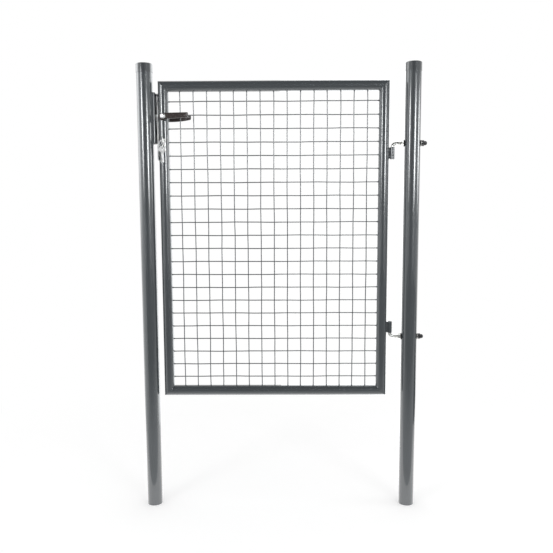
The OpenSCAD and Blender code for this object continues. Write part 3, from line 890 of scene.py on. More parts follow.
def cap_nut_profile(across, dome, low, high):
    """Face, cone and flats as on a nut, then a dome that is a little blunter than a ball: both the
    cosine and the sine of its angle are raised to a power below 1."""
    edge, face = flats(across), face_share * across
    drop = (edge - face) * cone
    shoulder, collar, blunt = low + 0.5 * (high - low), 1 * MM, 0.75
    rise = high - shoulder - collar
    b = np.linspace(0, math.pi / 2, 12)[None]
    dome_arc = (dome * np.cos(b) ** blunt, shoulder + collar + rise * np.sin(b) ** blunt)
    corners = [(0, low), (face, low), (edge, low + drop), (edge, shoulder - drop), (face, shoulder)]
    return all_round(edge, [*corners, dome_arc])


def washer_profile(bore, radius, low, high, edge):
    """A rectangle with rounded corners, from the bore to the rim."""
    return soften([(bore, low), (radius, low), (radius, high), (bore, high)], edge)


print(f"a washer's profile has {len(washer_profile(1, 2, 0, 1, 0.1))} points")


# %% Nuts, cap nuts and washers
dome_share, washer_edge = 0.43, 0.7 * MM
for place in ("upper", "lower"):
    low, high = box(f"{place}_inner_nut")
    rod_z = (low[2] + high[2]) / 2
    centre, across = np.array((0, 0, rod_z)), high[1] - low[1]
    nut = lathe(nut_profile(across, rod_r, low[0], high[0]), centre, "X", nut_sides)
    make(f"{place}_nut", "posts", ZINC, [(nut, "both")], stands_for=[f"{place}_inner_nut"])
    low, high = box(f"{place}_cap_nut")
    nut = lathe(cap_nut_profile(across, dome_share * across, low[0], high[0]), centre, "X", nut_sides)
    make(f"{place}_nut_cover", "posts", NUT_CAP, [(nut, "rows")], stands_for=[f"{place}_cap_nut"])
    for side, finish in (("inner", RUBBER), ("outer", ZINC)):
        node = f"{place}_{side}_washer"
        low, high = box(node)
        profile = washer_profile(rod_r, (high[1] - low[1]) / 2, low[0], high[0], washer_edge)
        ring = lathe(profile, centre, "X", 72)
        make(f"{node}_ring", "posts", finish, [(ring, "both")], stands_for=[node])


# %% [markdown]
# A sleeve is a short tube on a flat web, welded to the stile. The tube is turned with generously
# rounded ends, the web is a plate with softened rims, and fillet welds run down its four inner
# corners. They are beads again, but ripple more, because nobody grinds a weld inside a corner.

# %% Prism with rounded rims
def prism(outline, low, high, edge, axis="Z", centre=(0, 0, 0), steps=4):
    """A solid with a flat outline, from `low` to `high` along the axis. Near both faces the outline is
    drawn in by edge * (1 - sin b) at the height edge * (1 - cos b), which rounds its rim, and each face
    closes on a pole in its middle."""
    step = np.roll(outline, -1, 0) - np.roll(outline, 1, 0)
    area = np.sum(outline[:, 0] * step[:, 1] - outline[:, 1] * step[:, 0])
    outward = np.sign(area) * np.stack([step[:, 1], -step[:, 0]], 1)
    outward /= np.linalg.norm(outward, axis=1, keepdims=True)
    b = np.linspace(0, math.pi / 2, steps)
    inset, rise = edge * (1 - np.sin(b)), edge * (1 - np.cos(b))
    inset = np.concatenate([inset, inset[::-1]])[:, None, None]
    height = np.concatenate([low + rise, high - rise[::-1]])
    rings = outline - inset * outward
    middle = np.broadcast_to(outline.mean(0), (1, *outline.shape))
    rings = np.concatenate([middle, rings, middle])
    height = np.concatenate([[low], height, [high]])[:, None]
    return stand(rings[..., 0], rings[..., 1], height, axis) + np.asarray(centre)


square = np.array([(0, 0), (1, 0), (1, 1), (0, 1)], float)
print(f"a square prism has {len(prism(square, 0, 1, 0.1))} rings, poles included")


# %% Sleeves with their welds
sleeve_r, sleeve_edge, pin_play = 8.5 * MM, 1.6 * MM, 0.08 * MM
web, web_inset, web_edge, web_in_stile, web_in_sleeve = 6 * MM, 1.2 * MM, 0.8 * MM, 0.4 * MM, 1 * MM
fillet, fillet_ripple, off_web, off_sleeve = 2.6 * MM, 2.4 * MM, 0.6 * MM, 0.9 * MM


def fillet_weld(x, y, low, high):
    """A bead up a vertical corner at (x, y)."""
    path = stand(x, y, np.linspace(low, high, 60), "Z")
    return bead(path, X, width=fillet, height=fillet / 2, ripple=fillet_ripple)


for place in ("upper", "lower"):
    low, high = box(f"{place}_hinge_sleeve")
    axis_x = high[0] - sleeve_r
    profile = washer_profile(rod_r + pin_play, sleeve_r, low[2], high[2], sleeve_edge)
    surfaces = [(lathe(profile, (axis_x, 0, 0)), "both")]
    on_stile, in_sleeve = right - web_in_stile, axis_x - rod_r - web_in_sleeve
    plan = np.array([
        (on_stile, -web / 2), (in_sleeve, -web / 2), (in_sleeve, web / 2), (on_stile, web / 2),
    ])
    plate = prism(plan, low[2] + web_inset, high[2] - web_inset, web_edge)
    surfaces.append((plate, "columns"))
    for y in (-web / 2, web / 2):
        for x in (on_stile + off_web, axis_x - sleeve_r + off_sleeve):
            surfaces.append(fillet_weld(x, y, low[2] + 2 * web_inset, high[2] - 2 * web_inset))
    make(f"{place}_sleeve", "leaf", COAT, surfaces, stands_for=[f"{place}_hinge_sleeve"])


# %% [markdown]
# ## Lock and strike box
#
# The lock's forend is a flat plate with round ends, two slots for the bolts and two countersunk
# screws. The strike box on the post is one sheet, folded twice, with slots opposite the bolts. Both
# are made as a grid without thickness, with the cells inside the slots left out. A Solidify modifier
# then gives the sheet its gauge and the slots their walls, and a Bevel breaks the edges. Cutting the
# slots with Boolean modifiers would do as well, but leaves long thin faces that catch the light badly.

# %% Sheet with slots
sheet_edge, sheet_step = 0.5 * MM, 8 * MM


def grid_lines(stops, step):
    """Grid lines that hit every stop, with further ones between them at most `step` apart."""
    stops = np.unique(np.round(stops, 7))
    counts = np.maximum(1, np.ceil(np.diff(stops) / step)).astype(int)
    runs = [np.linspace(a, b, n, endpoint=False) for a, b, n in zip(stops, stops[1:], counts)]
    return np.concatenate([*runs, stops[-1:]])


def outside(rows, columns, slots):
    """Which cells of a grid are kept: those whose middle lies in no slot. A slot is (low row, high row,
    low column, high column), measured as the rows and columns are."""
    r, c = ((v[1:] + v[:-1]) / 2 for v in (rows, columns))
    kept = np.ones((len(r), len(c)), bool)
    for r0, r1, c0, c1 in slots:
        kept &= ~(((r > r0) & (r < r1))[:, None] & ((c > c0) & (c < c1))[None])
    return kept


def gauge(thickness):
    """Solidify to a thickness, half to each side, then break the edges."""
    solid = {"thickness": thickness, "offset": 0, "use_even_offset": True}
    sharp = {"limit_method": "ANGLE", "angle_limit": math.radians(50)}
    return (("SOLIDIFY", solid), ("BEVEL", {"width": sheet_edge, "segments": 2, **sharp}))


latch_low, latch_high = box("latch_bolt")
dead_low, dead_high = box("dead_bolt")
bolt_t = latch_high[1] - latch_low[1]


def bolt_slots(play):
    """The two slots, as (low Z, high Z, low Y, high Y), with a play all round the bolts."""
    half = bolt_t / 2 + play
    tall = ((latch_low[2], latch_high[2]), (dead_low[2], dead_high[2]))
    return [(a - play, b + play, -half, half) for a, b in tall]


print(f"the bolts are {bolt_t / MM:.0f} mm thick")


# %% Forend and its screws
forend_low, forend_high = box("lock_forend")
forend_half = (forend_high[1] - forend_low[1]) / 2
forend_play, screw_in = 0.3 * MM, 12 * MM
slots = bolt_slots(forend_play)
ends = forend_half * (1 - np.cos(np.linspace(0, math.pi / 2, 9)[:-1]))
z_stops = [forend_low[2] + forend_half, forend_high[2] - forend_half, *np.ravel([s[:2] for s in slots])]
straight = grid_lines(z_stops, sheet_step)
z = np.concatenate([forend_low[2] + ends, straight, (forend_high[2] - ends)[::-1]])
y = grid_lines([-forend_half, *slots[0][2:], forend_half], 3 * MM)
from_end = np.minimum(z - forend_low[2], forend_high[2] - z)
narrow = np.sqrt(np.clip(1 - np.clip(1 - from_end / forend_half, 0, 1) ** 2, 0, 1))
middle_x = (forend_low[0] + forend_high[0]) / 2
plate = stand(middle_x, y * narrow[:, None], z[:, None], "Z")
make(
    "forend_plate", "leaf", PLATE_ZINC, [(plate, "none", outside(z, y, slots))],
    stands_for=["lock_forend"], modifiers=gauge(forend_high[0] - forend_low[0]),
)


def screw_head(centre, radius=4.6 * MM, rows=15, columns=60):
    """A countersunk head facing along -X. Its face is domed by dome * (1 - (r / radius)^2), and a cross
    sinks into it where a point lies near one arm's line and not too far out along it."""
    dome, sunk, depth = 0.3 * MM, 1.3 * MM, 2.5 * MM
    arm_half, arm_slope, arm_length, end_slope = 0.75 * MM, 0.25 * MM, 2.7 * MM, 0.4 * MM
    r = np.concatenate([np.linspace(0, 1, rows), [1, 0]])[:, None] * radius
    a = angles(columns)
    u, v = r * np.cos(a), r * np.sin(a)
    thin, far = np.minimum(abs(u), abs(v)), np.maximum(abs(u), abs(v))
    arm = np.clip((arm_half - thin) / arm_slope, 0, 1) * np.clip((arm_length - far) / end_slope, 0, 1)
    proud = dome * (1 - (r / radius) ** 2) - sunk * arm
    proud[-2:] = -depth
    return stand(-proud, u, v, "Z") + centre


screws = [
    (screw_head(np.array((forend_low[0], 0, z))), "columns")
    for z in (forend_low[2] + screw_in, forend_high[2] - screw_in)
]
make("forend_screws", "leaf", ZINC, screws)


# %% [markdown]
# The strike box is one sheet whose two folds are about twice as wide as it is thick. It is welded to
# its post on both flanges, front and rear, so short beads run down both joints.

# %% Folded strike box
box_low, box_high = box("strike_box")
post_low, post_high = box("latch_post")
sheet_t, fold, into_post = 3 * MM, 7 * MM, 0.5 * MM
post_x, post_r = (post_high[0] + post_low[0]) / 2, (post_high[0] - post_low[0]) / 2
strike_gap, strike_play = 5 * MM, 0.8 * MM
web_x = forend_low[0] - strike_gap - sheet_t / 2
front_y, rear_y = box_low[1] + sheet_t / 2, box_high[1] - sheet_t / 2


def beside_post(y):
    """Where a flange at the depth y meets the round post."""
    return post_x + math.sqrt(post_r**2 - y**2)


strike_slots = bolt_slots(strike_play)
strike_z = grid_lines([box_low[2], box_high[2], *np.ravel([s[:2] for s in strike_slots])], sheet_step)
slot_y = strike_slots[0][2:]
plan = np.array([
    (beside_post(front_y) - into_post, front_y), (web_x, front_y), (web_x, slot_y[0]),
    (web_x, slot_y[1]), (web_x, rear_y), (box_high[0], rear_y),
])
line = soften(plan, [0, fold, 0, 0, fold, 0], 6)
sheet = stand(line[:, 0], line[:, 1], strike_z[:, None], "Z")
kept = outside(strike_z, line[:, 1], strike_slots)
flange_x = np.linspace(beside_post(rear_y) - into_post, web_x, 5)
flange = stand(flange_x, rear_y, strike_z[:, None], "Z")
make(
    "strike_sheet", "posts", COAT, [(sheet, "none", kept), (flange, "none")],
    stands_for=["strike_box"], modifiers=gauge(sheet_t),
)


# %% Welds of the strike box
weld_length, weld_count, weld_margin = 26 * MM, 3, 6 * MM
weld_proud, weld_in = 0.6 * MM, 0.4 * MM


def short_weld(y, low):
    """One short weld between a flange and the post, upwards from `low`."""
    path = stand(beside_post(y) + weld_proud, y, np.linspace(low, low + weld_length, 60), "Z")
    return bead(path, X, width=4 * MM, height=1.6 * MM, ripple=2.6 * MM)


starts = np.linspace(box_low[2] + weld_margin, box_high[2] - weld_margin - weld_length, weld_count)
strike_welds = [
    short_weld(y, low) for y in (box_low[1] + weld_in, box_high[1] - weld_in) for low in starts
]
make("strike_welds", "posts", COAT, strike_welds, sharp=60)


# %% [markdown]
# Both bolts are nickel plated. The latch bolt has its rear corner sloped, so that the closing leaf
# pushes it in. The dead bolt is drawn back until it is flush. They are prisms with softened rims, and
# so are the lock case behind the forend and the square spindle.

# %% Bolts, case and spindle
def block(node, name, body, finish, edge):
    """A box-shaped node as a prism with softened rims."""
    low, high = box(node)
    plan = np.array([(low[0], low[1]), (high[0], low[1]), (high[0], high[1]), (low[0], high[1])])
    shape = prism(soften(plan, edge), low[2], high[2], edge)
    make(name, body, finish, [(shape, "columns")], stands_for=[node])


low, high = latch_low, latch_high
slope, nose = 0.75 * bolt_t, (0.5 * MM, 2 * MM)
corner_cut, rim = 0.45 * MM, 0.5 * MM
plan = np.array([
    (high[0], low[1]), (high[0], high[1]), (low[0] + slope, high[1]),
    (low[0] + nose[0], low[1] + nose[1]), (low[0], low[1]),
])
bolt = prism(soften(plan, corner_cut), low[2], high[2], rim)
make("latch_bolt_head", "latch", LEVER_METAL_PAINTED_LIGHT, [(bolt, "columns")], stands_for=["latch_bolt"])
block("dead_bolt", "dead_bolt_block", "leaf", NICKEL, 0.4 * MM)
block("lock_case", "lock_case_box", "leaf", ZINC, 0.6 * MM)
block("lever_spindle", "square_spindle", "handle", ZINC, 0.4 * MM)


# %% [markdown]
# ## Levers
#
# Round plastic roses cover the holes in the stile. A satin nickel neck comes out of each, turns a
# corner towards the mesh and carries a plastic grip. The neck is a circle that becomes a rounded square
# as it is carried round the corner. The grip is a rounded rectangle, |u|^n + |v|^n = 1 with n near 4,
# that changes in height and depth along a gently curved line. Such a shape is quick to model by hand
# from a box under a Subdivision Surface, but the formula keeps the two grips exact mirror images.

# %% Roses
lock_x = left + frame_r
axle = np.array((lock_x, 0, (latch_low[2] + latch_high[2]) / 2))
rose_low, rose_high = box("front_rose")
rose_r, rose_out, rose_in = (rose_high[0] - rose_low[0]) / 2, -rose_low[1], -12 * MM
neck_r, rose_gap = 7.5 * MM, 0.3 * MM
dish, rim_width, rim_drop = 0.4 * MM, 3 * MM, 1.6 * MM


def rose(sign):
    """A ring with a rounded rim and a shallow dish, from inside the tube to its face."""
    hole_r = neck_r + rose_gap
    outline = [
        (hole_r, rose_in), (hole_r, -rose_out + dish), (rose_r - rim_width, -rose_out),
        (rose_r, -rose_out + rim_drop), (rose_r, rose_in),
    ]
    profile = soften(outline, np.array([0, 0.3, 1.2, 1.2, 0]) * MM)
    return lathe(profile * (1, sign), axle, "Y"), "both"


print(f"a rose is {2 * rose_r / MM:.0f} mm across and stands {rose_out / MM:.1f} mm in front of the axis")


# %% Roses with their necks
grip_low, grip_high = box("front_lever_grip")
grip_start = grip_low[0] - lock_x
lever_out, neck_in, neck_turn, neck_in_grip = 46 * MM, 20.6 * MM, 9 * MM, 3 * MM
neck_flat, squaring, neck_rim = 0.85, 6 * MM, 0.97


def rounded_square(a, n):
    """The points (u, v) of |u|^n + |v|^n = 1 at the angles a: the cosine and the sine, each raised to
    the power 2 / n with its sign kept."""
    return [np.sign(wave(a)) * abs(wave(a)) ** (2 / n) for wave in (np.cos, np.sin)]


def neck(sign):
    """A section that begins as a circle in the rose and soon becomes a rounded square, n rising from 2
    to 4. It leaves the tube, turns through a quarter circle and ends in the grip."""
    b = np.linspace(0, math.pi / 2, 22)[1:-1]
    straight = np.linspace(neck_in, lever_out - neck_turn, 8)
    level = np.linspace(neck_turn, grip_start + neck_in_grip, 6)
    out = np.concatenate([
        straight, lever_out - neck_turn * (1 - np.sin(b)), np.full(len(level), lever_out),
    ])
    across = np.concatenate([np.zeros(len(straight)), neck_turn * (1 - np.cos(b)), level])
    path = axle + stand(across, -sign * out, 0, "Z")
    radius = np.full((len(path), 1), neck_r)
    radius[[0, -1]] = 0
    radius[[1, -2]] *= neck_rim
    n = np.interp(out, [rose_out, rose_out + squaring], [2, 4])[:, None]
    u, v = rounded_square(angles(48), n)
    return carry(path, Z, np.stack([u * radius, v * radius * neck_flat], 2)), "columns"


both_sides = {"front": 1, "rear": -1}
for side, sign in both_sides.items():
    make(f"{side}_rose_disc", "leaf", GRIP, [rose(sign)], stands_for=[f"{side}_rose"])
    make(f"{side}_neck", "handle", LEVER_METAL_PAINTED_LIGHT, [neck(sign)], stands_for=[f"{side}_lever_neck"])


# %% Lever grips
grip_length = grip_high[0] - grip_low[0]
grip_h, grip_t, grip_rise, grip_return = 22 * MM, 12 * MM, 5 * MM, 8 * MM
crown, slant = 2 * MM, 5 * MM
root_share, tip_share = 0.025, 0.07
root_height, lower_by, thinner_by = 0.97, 0.20, 0.22
squareness = 4.2
ridge, ridge_width, ridge_reach = 0.03, 0.02, 0.05


def grip(sign, rows=72, columns=64):
    """Rounded rectangles along s from 0 to 1. The middle line rises and returns with s squared and
    bulges with sin(pi s), the section narrows towards the tip, and both ends are drawn in by a steep
    curve, (1 - q^3)^(1/3). The root is cut aslant, so that its side towards the gate starts first.
    A fine ridge runs along the upper and lower side, where the halves of the mould met."""
    s = 0.5 - 0.5 * np.cos(np.linspace(0, math.pi, rows))
    root, tip = np.clip(1 - s / root_share, 0, 1), np.clip(1 - (1 - s) / tip_share, 0, 1)
    close = (1 - root**3) ** (1 / 3) * (1 - tip**3) ** (1 / 3)
    tall = grip_h * (root_height - lower_by * s**2) * close
    deep = grip_t * (1 - thinner_by * s**2) * close
    u, v = (wave / 2 for wave in rounded_square(angles(columns), squareness))
    on_ridge = np.exp(-(((abs(v) * 2 - 1) / ridge_width) ** 2)) * (abs(u) < ridge_reach)
    parting = 1 + ridge * on_ridge
    out = lever_out - grip_return * s**2 + crown * np.sin(math.pi * s)
    x = (grip_start + s * grip_length)[:, None] - slant * ((1 - s) ** 8)[:, None] * (0.5 - u)
    y = -sign * (out[:, None] + deep[:, None] * u)
    z = (grip_rise * s**2)[:, None] + tall[:, None] * v * parting
    return stand(x, y, z, "Z") + axle, "columns"


for side, sign in both_sides.items():
    make(f"{side}_grip", "handle", GRIP, [grip(sign)], stands_for=[f"{side}_lever_grip"], sharp=60)


# %% [markdown]
# ## Cylinder and keys
#
# The lock cylinder has the usual keyhole outline: a round part above a narrower lobe, both made from
# arcs. Its turning plug shows as two half discs with the keyway between them. One key is in it, and two
# more hang from it on a split ring, which is a wire wound almost twice round. A key is a ring between
# two circles that don't share a centre, for its bow, and a bar whose width drops at each notch, for its
# blade.

# %% Lock cylinder
cyl_low, cyl_high = box("lock_cylinder")
barrel_r, lobe_r = (cyl_high[0] - cyl_low[0]) / 2, 5 * MM
cylinder_middle = np.array((lock_x, 0, cyl_high[2] - barrel_r))
lobe_z = cyl_low[2] + lobe_r - cylinder_middle[2]
plug_r, keyway_half, plug_proud, plug_t = 6.3 * MM, 1.2 * MM, 0.5 * MM, 1.5 * MM


def keyhole_outline():
    """The round part from one shoulder over the top to the other, then the lobe's half circle."""
    shoulder = math.acos(lobe_r / barrel_r)
    a = np.linspace(-shoulder, math.pi + shoulder, 40)
    c = np.linspace(math.pi, TAU, 16)
    upper = np.stack([barrel_r * np.cos(a), barrel_r * np.sin(a)], 1)
    lower = np.stack([lobe_r * np.cos(c), lobe_z + lobe_r * np.sin(c)], 1)
    return np.concatenate([upper, lower])


def half_plug(sign, way, rows=12, columns=9):
    """Half of the plug's face: strips at x from the keyway to the rim, each as tall as the circle."""
    x = np.linspace(keyway_half, plug_r, rows)
    tall = np.sqrt(np.clip(plug_r**2 - x**2, 0, None))
    v = np.linspace(-1, 1, columns)
    front = stand(way * x[:, None], tall[:, None] * v, sign * (cyl_low[1] - plug_proud), "Y")
    back = front[:, ::-1] + (0, sign * plug_t, 0)
    return np.concatenate([front, back], 1) + cylinder_middle, "columns"


barrel = prism(keyhole_outline(), cyl_low[1], cyl_high[1], 0.5 * MM, "Y", cylinder_middle)
plugs = [half_plug(sign, way) for sign in (1, -1) for way in (1, -1)]
make("cylinder_body", "leaf", NICKEL, [(barrel, "columns"), *plugs], stands_for=["lock_cylinder"])


# %% Bow and blade of a key
bow_r, hole_r, bow_edge, key_t = 11.5 * MM, 3.5 * MM, 6 * MM, 1.8 * MM
blade_w, blade_length, blade_in_bow = 8.5 * MM, 33 * MM, 2 * MM
shoulder_w, shoulder_length = 10.5 * MM, 4 * MM
notches, notch_from, notch_pitch, notch_depth = 5, 6 * MM, 5.2 * MM, 1.3 * MM
point_length = 3.2 * MM
bow_y = bow_r - bow_edge
blade_top = bow_y + bow_r + shoulder_length


def key_bow(columns=64):
    """A ring between the hole and the bow's edge. The share q moves a point from one circle to the other
    and its centre from 0 to bow_y, with the rims rounded at both."""
    half, rim = key_t / 2, 0.4 * MM
    width = bow_r - hole_r
    section = soften([(0, -half), (width, -half), (width, half), (0, half)], rim)
    q, h = section[:, 0] / width, section[:, 1]
    a = angles(columns)[:, None]
    radius = hole_r + q * width
    return stand(radius * np.cos(a), radius * np.sin(a) - q * bow_y, h, "Z"), "both"


def key_blade(rows=90):
    """A bar from inside the bow to the tip. One side is cut by notches, each a short dip of the width,
    and a groove runs down both faces. c is the place across the blade, from -1 to 1, and face the
    height there."""
    s = np.linspace(bow_y + bow_r - blade_in_bow, blade_top + blade_length, rows)
    shoulder = s < blade_top
    point = np.clip((s - s[-1] + point_length) / point_length, 0, 1)
    half = np.where(shoulder, shoulder_w / 2, blade_w / 2) * (1 - point**2)
    run = (s - blade_top - notch_from) / notch_pitch
    cuts = np.where((run > -0.5) & (run < notches - 0.5), 1 - abs((run + 0.5) % 1 - 0.5) * 4, 0)
    notch = notch_depth * np.clip(cuts, 0, 1)
    c = np.array([-1, -1, -0.45, -0.3, 0, 0.15, 1, 1, 0.15, 0, -0.3, -0.45])
    face = np.array([-1, 1, 1, 0.45, 0.45, 1, 1, -1, -1, -0.45, -0.45, -1]) * key_t / 2
    x = half[:, None] * c - notch[:, None] * (c == 1)
    face = np.where(shoulder[:, None], np.sign(face) * key_t / 2, face) * (s < s[-1])[:, None]
    return stand(x, -s[:, None], face, "Z"), "columns"


print(f"bow {2 * bow_r / MM:.0f} mm across, blade {blade_length / MM:.0f} mm long")


# %% The key in the lock
def rotation(axis, degrees):
    """The matrix that turns points about X, Y or Z."""
    a = math.radians(degrees)
    c, s = math.cos(a), math.sin(a)
    i, j = {"X": (1, 2), "Y": (2, 0), "Z": (0, 1)}[axis]
    matrix = np.eye(3)
    matrix[i, i], matrix[i, j], matrix[j, i], matrix[j, j] = c, -s, s, c
    return matrix


def key(turns, hole):
    """Both parts of a key, turned about its hole by each matrix in turn and put in place."""
    whole = np.linalg.multi_dot([*turns[::-1], np.eye(3)])
    return [(points @ whole.T + hole, loop) for points, loop in (key_bow(), key_blade())]


hole_y = cyl_low[1] - shoulder_length - 2 * bow_r + bow_edge
key_hole = np.array((lock_x, hole_y, cylinder_middle[2]))
in_lock = [rotation("Y", -90), rotation("Z", 180)]
make("key_in_lock", "leaf", KEY_NICKEL_PAINTED_LIGHT, key(in_lock, key_hole), stands_for=["lock_key"], sharp=40)


# %% Split ring and spare keys
ring_low, ring_high = box("key_ring")
ring_turn, ring_wire = 45, 0.9 * MM
ring_r = (ring_high[2] - ring_low[2]) / 2 - ring_wire
ring_middle = np.array((lock_x, hole_y, (ring_low[2] + ring_high[2]) / 2))
ring_turns, flattened = 1.94, (0.47, 0.98)
spare_fan, key_gap = 5, 0.9 * MM


def split_ring(rows=220, columns=10):
    """A flattened wire along a circle that slides sideways by its own thickness in the middle of its
    run, so that the two turns lie side by side. t is the share of the run, and the wire thins to
    nothing over the last sixtieth at both ends."""
    a = np.linspace(0, ring_turns * TAU, rows)
    t = a / a[-1]
    shift = ring_wire * np.clip((t - 0.5) * 12, -0.5, 0.5)
    path = stand(ring_r * np.cos(a), shift, ring_r * np.sin(a), "Z")
    c = angles(columns)
    taper = np.clip(np.minimum(t, 1 - t) * 60, 0, 1) ** 0.5
    oval = ring_wire * np.stack([flattened[0] * np.cos(c), flattened[1] * np.sin(c)], 1)
    return carry(path, Y, taper[:, None, None] * oval)


ring = split_ring() @ rotation("Z", ring_turn).T + ring_middle
make("split_ring", "key_bunch", KEY_NICKEL_PAINTED_LIGHT, [(ring, "columns")], stands_for=["key_ring"])
step = (key_t + key_gap) / (2 * math.sin(math.radians(ring_turn)))
for name, way in (("front_spare_key", -1), ("rear_spare_key", 1)):
    beside = rotation("Z", ring_turn) @ (way * step, 0, 0)
    hole = np.array((*(ring_middle[:2] + beside[:2]), box(name)[1, 2] - bow_edge))
    turns = [rotation("X", 90), rotation("Y", way * spare_fan)]
    make(f"{name}_blank", "key_bunch", KEY_NICKEL_PAINTED_LIGHT, key(turns, hole), stands_for=[name], sharp=40)


# %% [markdown]
# ## Floor, light and surroundings
#
# Dark gloss shows mostly what stands around it, so the surroundings are built for the finish and not
# only for brightness. The gate stands on white paper in a dark hall. The paper ends just in front of
# the posts, and beyond it the floor darkens. Tall soft lamps on both sides draw the bright upright
# streaks, and they begin at eye level, so the lower half of every tube stays plain. A screen on the
# left and a card behind the gate brighten the flanks of the tubes that are turned to them. The hall is
# seen by reflections alone: the camera sees white in every direction.

# %% White surroundings
world = Network(bpy.data.worlds.new("white_studio"))
bpy.context.scene.world = world.owner
white = (1, 1, 1)
ambient_strength = 0.75


def seen_by(network, *kinds):
    """1 for the named kinds of ray, such as those from the camera or a mirror, and 0 for the rest."""
    rays = network.tree.nodes.new("ShaderNodeLightPath").outputs
    return sum(Signal(network, rays[f"Is {kind} Ray"]) for kind in kinds)


def glow(network, kind, colour, strength):
    """A shader that only shines: an Emission on a sheet, or a Background in the world."""
    return network.node(kind, {}, {"Color": colour, "Strength": strength})


world.tree.nodes.clear()
direct = "Camera", "Glossy", "Transmission"
shades = {
    0: seen_by(world, *direct),
    1: glow(world, "ShaderNodeBackground", white, ambient_strength),
    2: glow(world, "ShaderNodeBackground", white, 1.0),
}
world.end("ShaderNodeOutputWorld", world.node("ShaderNodeMixShader", {}, shades))
print(f"the surroundings light the gate at {ambient_strength} of white")


# %% Floor that is white to the camera and keeps the shadow
def flat(name, corners, finish):
    """A four-sided sheet, marked as part of the studio."""
    mesh = bpy.data.meshes.new(name)
    mesh.from_pydata(corners, [], [(0, 1, 2, 3)])
    mesh.materials.append(finish)
    sheet = add_object(name, mesh)
    sheet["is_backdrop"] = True
    print(f"{name}: {np.ptp(np.array(corners), axis=0).round(2)} m")
    return sheet


def level_sheet(x, y, z):
    """The corners of a level sheet that spans two X and two Y."""
    return [(x[0], y[0], z), (x[1], y[0], z), (x[1], y[1], z), (x[0], y[1], z)]


def white_paper():
    """Matt white paper. Seen directly it also glows a little, and far from the gate it only glows, so
    that no edge shows between it and the white behind."""
    paper = Network(bpy.data.materials.new("white_paper"))
    paper.tree.nodes.clear()
    place = paper.node("ShaderNodeTexCoord", {}, {}, "Object")
    ends = {0: place, 1: (*gate_middle, 0)}
    from_gate = paper.node("ShaderNodeVectorMath", {"operation": "DISTANCE"}, ends, "Value")
    far = paper.fade(from_gate, 0.8, 2.0)
    matt = paper.node("ShaderNodeBsdfDiffuse", {}, {"Color": (0.86, 0.86, 0.86)})
    strength = 0.3 * seen_by(paper, "Camera", "Transmission") + 1.1 * seen_by(paper, "Glossy")
    lift = glow(paper, "ShaderNodeEmission", white, strength)
    near = paper.node("ShaderNodeAddShader", {}, {0: matt, 1: lift})
    bright = glow(paper, "ShaderNodeEmission", white, 1.0)
    share = far * seen_by(paper, *direct)
    mixed = paper.node("ShaderNodeMixShader", {}, {0: share, 1: near, 2: bright})
    return paper.end("ShaderNodeOutputMaterial", mixed)


gate_middle = (-0.5, 0.0)
floor_half = 14.0
flat("floor", level_sheet((-floor_half, floor_half), (-floor_half, floor_half), 0), white_paper())


# %% Sheets of light and dark, seen by reflections alone
class Shine(Network):
    """A glow that changes from place to place on a sheet, where x, y and z are the place."""

    def __init__(self, name):
        super().__init__(bpy.data.materials.new(name))
        self.tree.nodes.clear()
        place = self.node("ShaderNodeTexCoord", {}, {}, "Object")
        apart = "ShaderNodeSeparateXYZ"
        self.x, self.y, self.z = (self.node(apart, {}, {0: place}, axis) for axis in "XYZ")

    def band(self, along, start, full, ebb, end):
        """A soft band: it rises from `start` to `full`, and falls from `ebb` to `end`."""
        return self.fade(along, start, full) * (1 - self.fade(along, ebb, end))


def reflected(name, corners, strength):
    """A glowing sheet that only mirrors see: it lights nothing, shades nothing and hides nothing. The
    strength is a number, or a function that works it out from the place on the sheet."""
    shine = Shine(name)
    amount = strength(shine) if callable(strength) else strength
    light = glow(shine, "ShaderNodeEmission", (0.97, 0.99, 1.0), amount)
    sheet = flat(name, corners, shine.end("ShaderNodeOutputMaterial", light))
    sheet.visible_camera = sheet.visible_diffuse = sheet.visible_transmission = False
    sheet.visible_shadow = sheet.visible_volume_scatter = False


def upright_sheet(start, end, low, high):
    """The corners of a sheet that stands on the line from start to end."""
    return [(*start, low), (*end, low), (*end, high), (*start, high)]


# %% Dark hall
gloom, left_glow, right_glow = 0.05, 0.75, 0.65
hall_x, hall_y, ceiling = (-7.0, 6.5), (-9.0, 1.2), 6.0
paper_x, paper_front = (-2.0, 0.95), -0.21
just_above = 2 * MM


def front_floor_glow(at):
    """Brightest where it meets the paper."""
    return 0.12 + 0.70 * at.fade(at.y, -2.2, -0.3)


def front_wall_glow(at):
    """Brighter towards both ends than in the middle."""
    return 0.10 + 0.40 * at.fade(at.x, -1.5, 6.0) + 0.35 * at.fade(-1 * at.x, 2, 6)


def wall(start, end):
    """The corners of a wall from the floor to the ceiling."""
    return upright_sheet(start, end, 0, ceiling)


def beside_paper(x):
    """The corners of the dark floor on one side of the paper."""
    return level_sheet(x, (paper_front, hall_y[1]), just_above)


front_left, front_right, back_left, back_right = [(x, y) for y in hall_y for x in hall_x]
for name, corners, strength in (
    ("front_floor", level_sheet(hall_x, (hall_y[0], paper_front), just_above), front_floor_glow),
    ("left_floor", beside_paper((hall_x[0], paper_x[0])), gloom),
    ("right_floor", beside_paper((paper_x[1], hall_x[1])), gloom),
    ("ceiling", level_sheet(hall_x, hall_y, ceiling), gloom),
    ("front_wall", wall(front_left, front_right), front_wall_glow),
    ("left_wall", wall(front_left, back_left), left_glow),
    ("right_wall", wall(front_right, back_right), right_glow),
):
    reflected(name, corners, strength)


# %% White card behind the gate, and white screen on its left
def screen_glow(at):
    """Dim at its front end, brighter beside the gate, with a painted patch of light at eye level."""
    plain = 0.90 + 0.35 * at.fade(at.y, -1.0, 0.1)
    # The eye-level band is a painted pool of light; no lamp shines on the screen.
    return plain + 2.5 * at.band(at.z, 0.9, 1.5, 1.9, 2.5) * at.band(at.y, -0.35, 0.0, 0.3, 0.6)


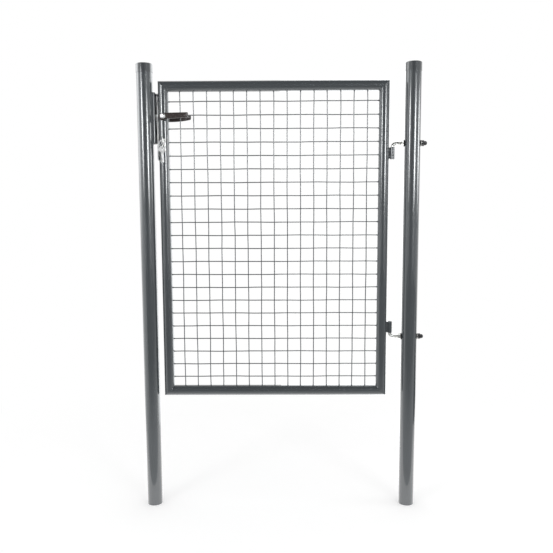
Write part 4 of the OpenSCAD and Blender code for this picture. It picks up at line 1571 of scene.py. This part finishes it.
card_start, card_end, card_top, card_glow = (0.0, 0.12), (-0.5, 1.2), 2.4, 3.0
reflected("back_card", upright_sheet(card_start, card_end, 0, card_top), card_glow)
screen_x, screen_half, screen_top = -1.85, 0.9, 2.7
screen = upright_sheet((screen_x, -screen_half), (screen_x, screen_half), 0, screen_top)
reflected("left_screen", screen, screen_glow)


# %% Soft lamps
def soft_lamp(name, centre, width, heights, mirrored, light):
    """An upright lamp that faces the gate, made of two parts. The sheet that mirrors see has the
    radiance `mirrored`, and like a lamp behind cloth it fades in and out between the four heights. The
    light that falls on matt surfaces comes from an area light in the same place, of the radiance
    `light`."""
    facing = math.atan2(centre[0] - gate_middle[0], gate_middle[1] - centre[1])
    half = width / 2 * np.array([math.cos(facing), math.sin(facing)])
    corners = upright_sheet(np.array(centre) - half, np.array(centre) + half, heights[0], heights[3])
    reflected(f"{name}_glow", corners, lambda at: mirrored * at.band(at.z, *heights))
    tall = heights[2] - heights[1] + (heights[1] - heights[0] + heights[3] - heights[2]) / 2
    lamp = bpy.data.lights.new(name, "AREA")
    lamp.shape, lamp.size, lamp.size_y = "RECTANGLE", width, tall
    lamp.energy = light * math.pi * width * tall
    holder = add_object(name, lamp)
    holder.location = (*centre, sum(heights) / 4)
    holder.rotation_euler = (math.pi / 2, 0, facing)
    holder.visible_camera = holder.visible_glossy = False
    print(f"{name}: {width:.2f} by {tall:.2f} m, {lamp.energy:.1f} W")


soft_lamp("left_lamp", (-2.43, -2.04), 0.62, (1.15, 1.85, 1.93, 2.3), mirrored=17, light=8)
soft_lamp("right_lamp", (2.19, -4.2), 1.3, (1.05, 1.65, 2.1, 2.65), mirrored=17, light=8)
soft_lamp("right_side_lamp", (3.1, -0.15), 1.1, (1.0, 1.6, 1.9, 2.3), mirrored=9, light=5)


# %% [markdown]
# ## Camera
#
# The camera stands 2.4 metres in front of the gate, a little below eye level, and looks slightly down.
# A lens of 41 mm keeps both posts in view with room around them.

# %% Camera
lens = bpy.data.cameras.new("camera")
lens.lens, lens.sensor_width = 40.97, 36
camera = add_object("camera", lens)
camera.location = (-0.4875, -2.4039, 1.1657)
camera.rotation_euler = [math.radians(d) for d in (83.850, 0.252, 0.540)]
bpy.context.scene.camera = camera
bpy.context.scene.view_settings.view_transform = "Standard"
print(f"the camera sees {math.degrees(lens.angle):.1f} degrees across, from {camera.location.y:.2f} m")


# %% Sizes, and the end
visual_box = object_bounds()
grown = (np.array(visual_box) - np.array(cad_box)) / MM
print("visual box less CAD box, mm:", grown.round(2).tolist())
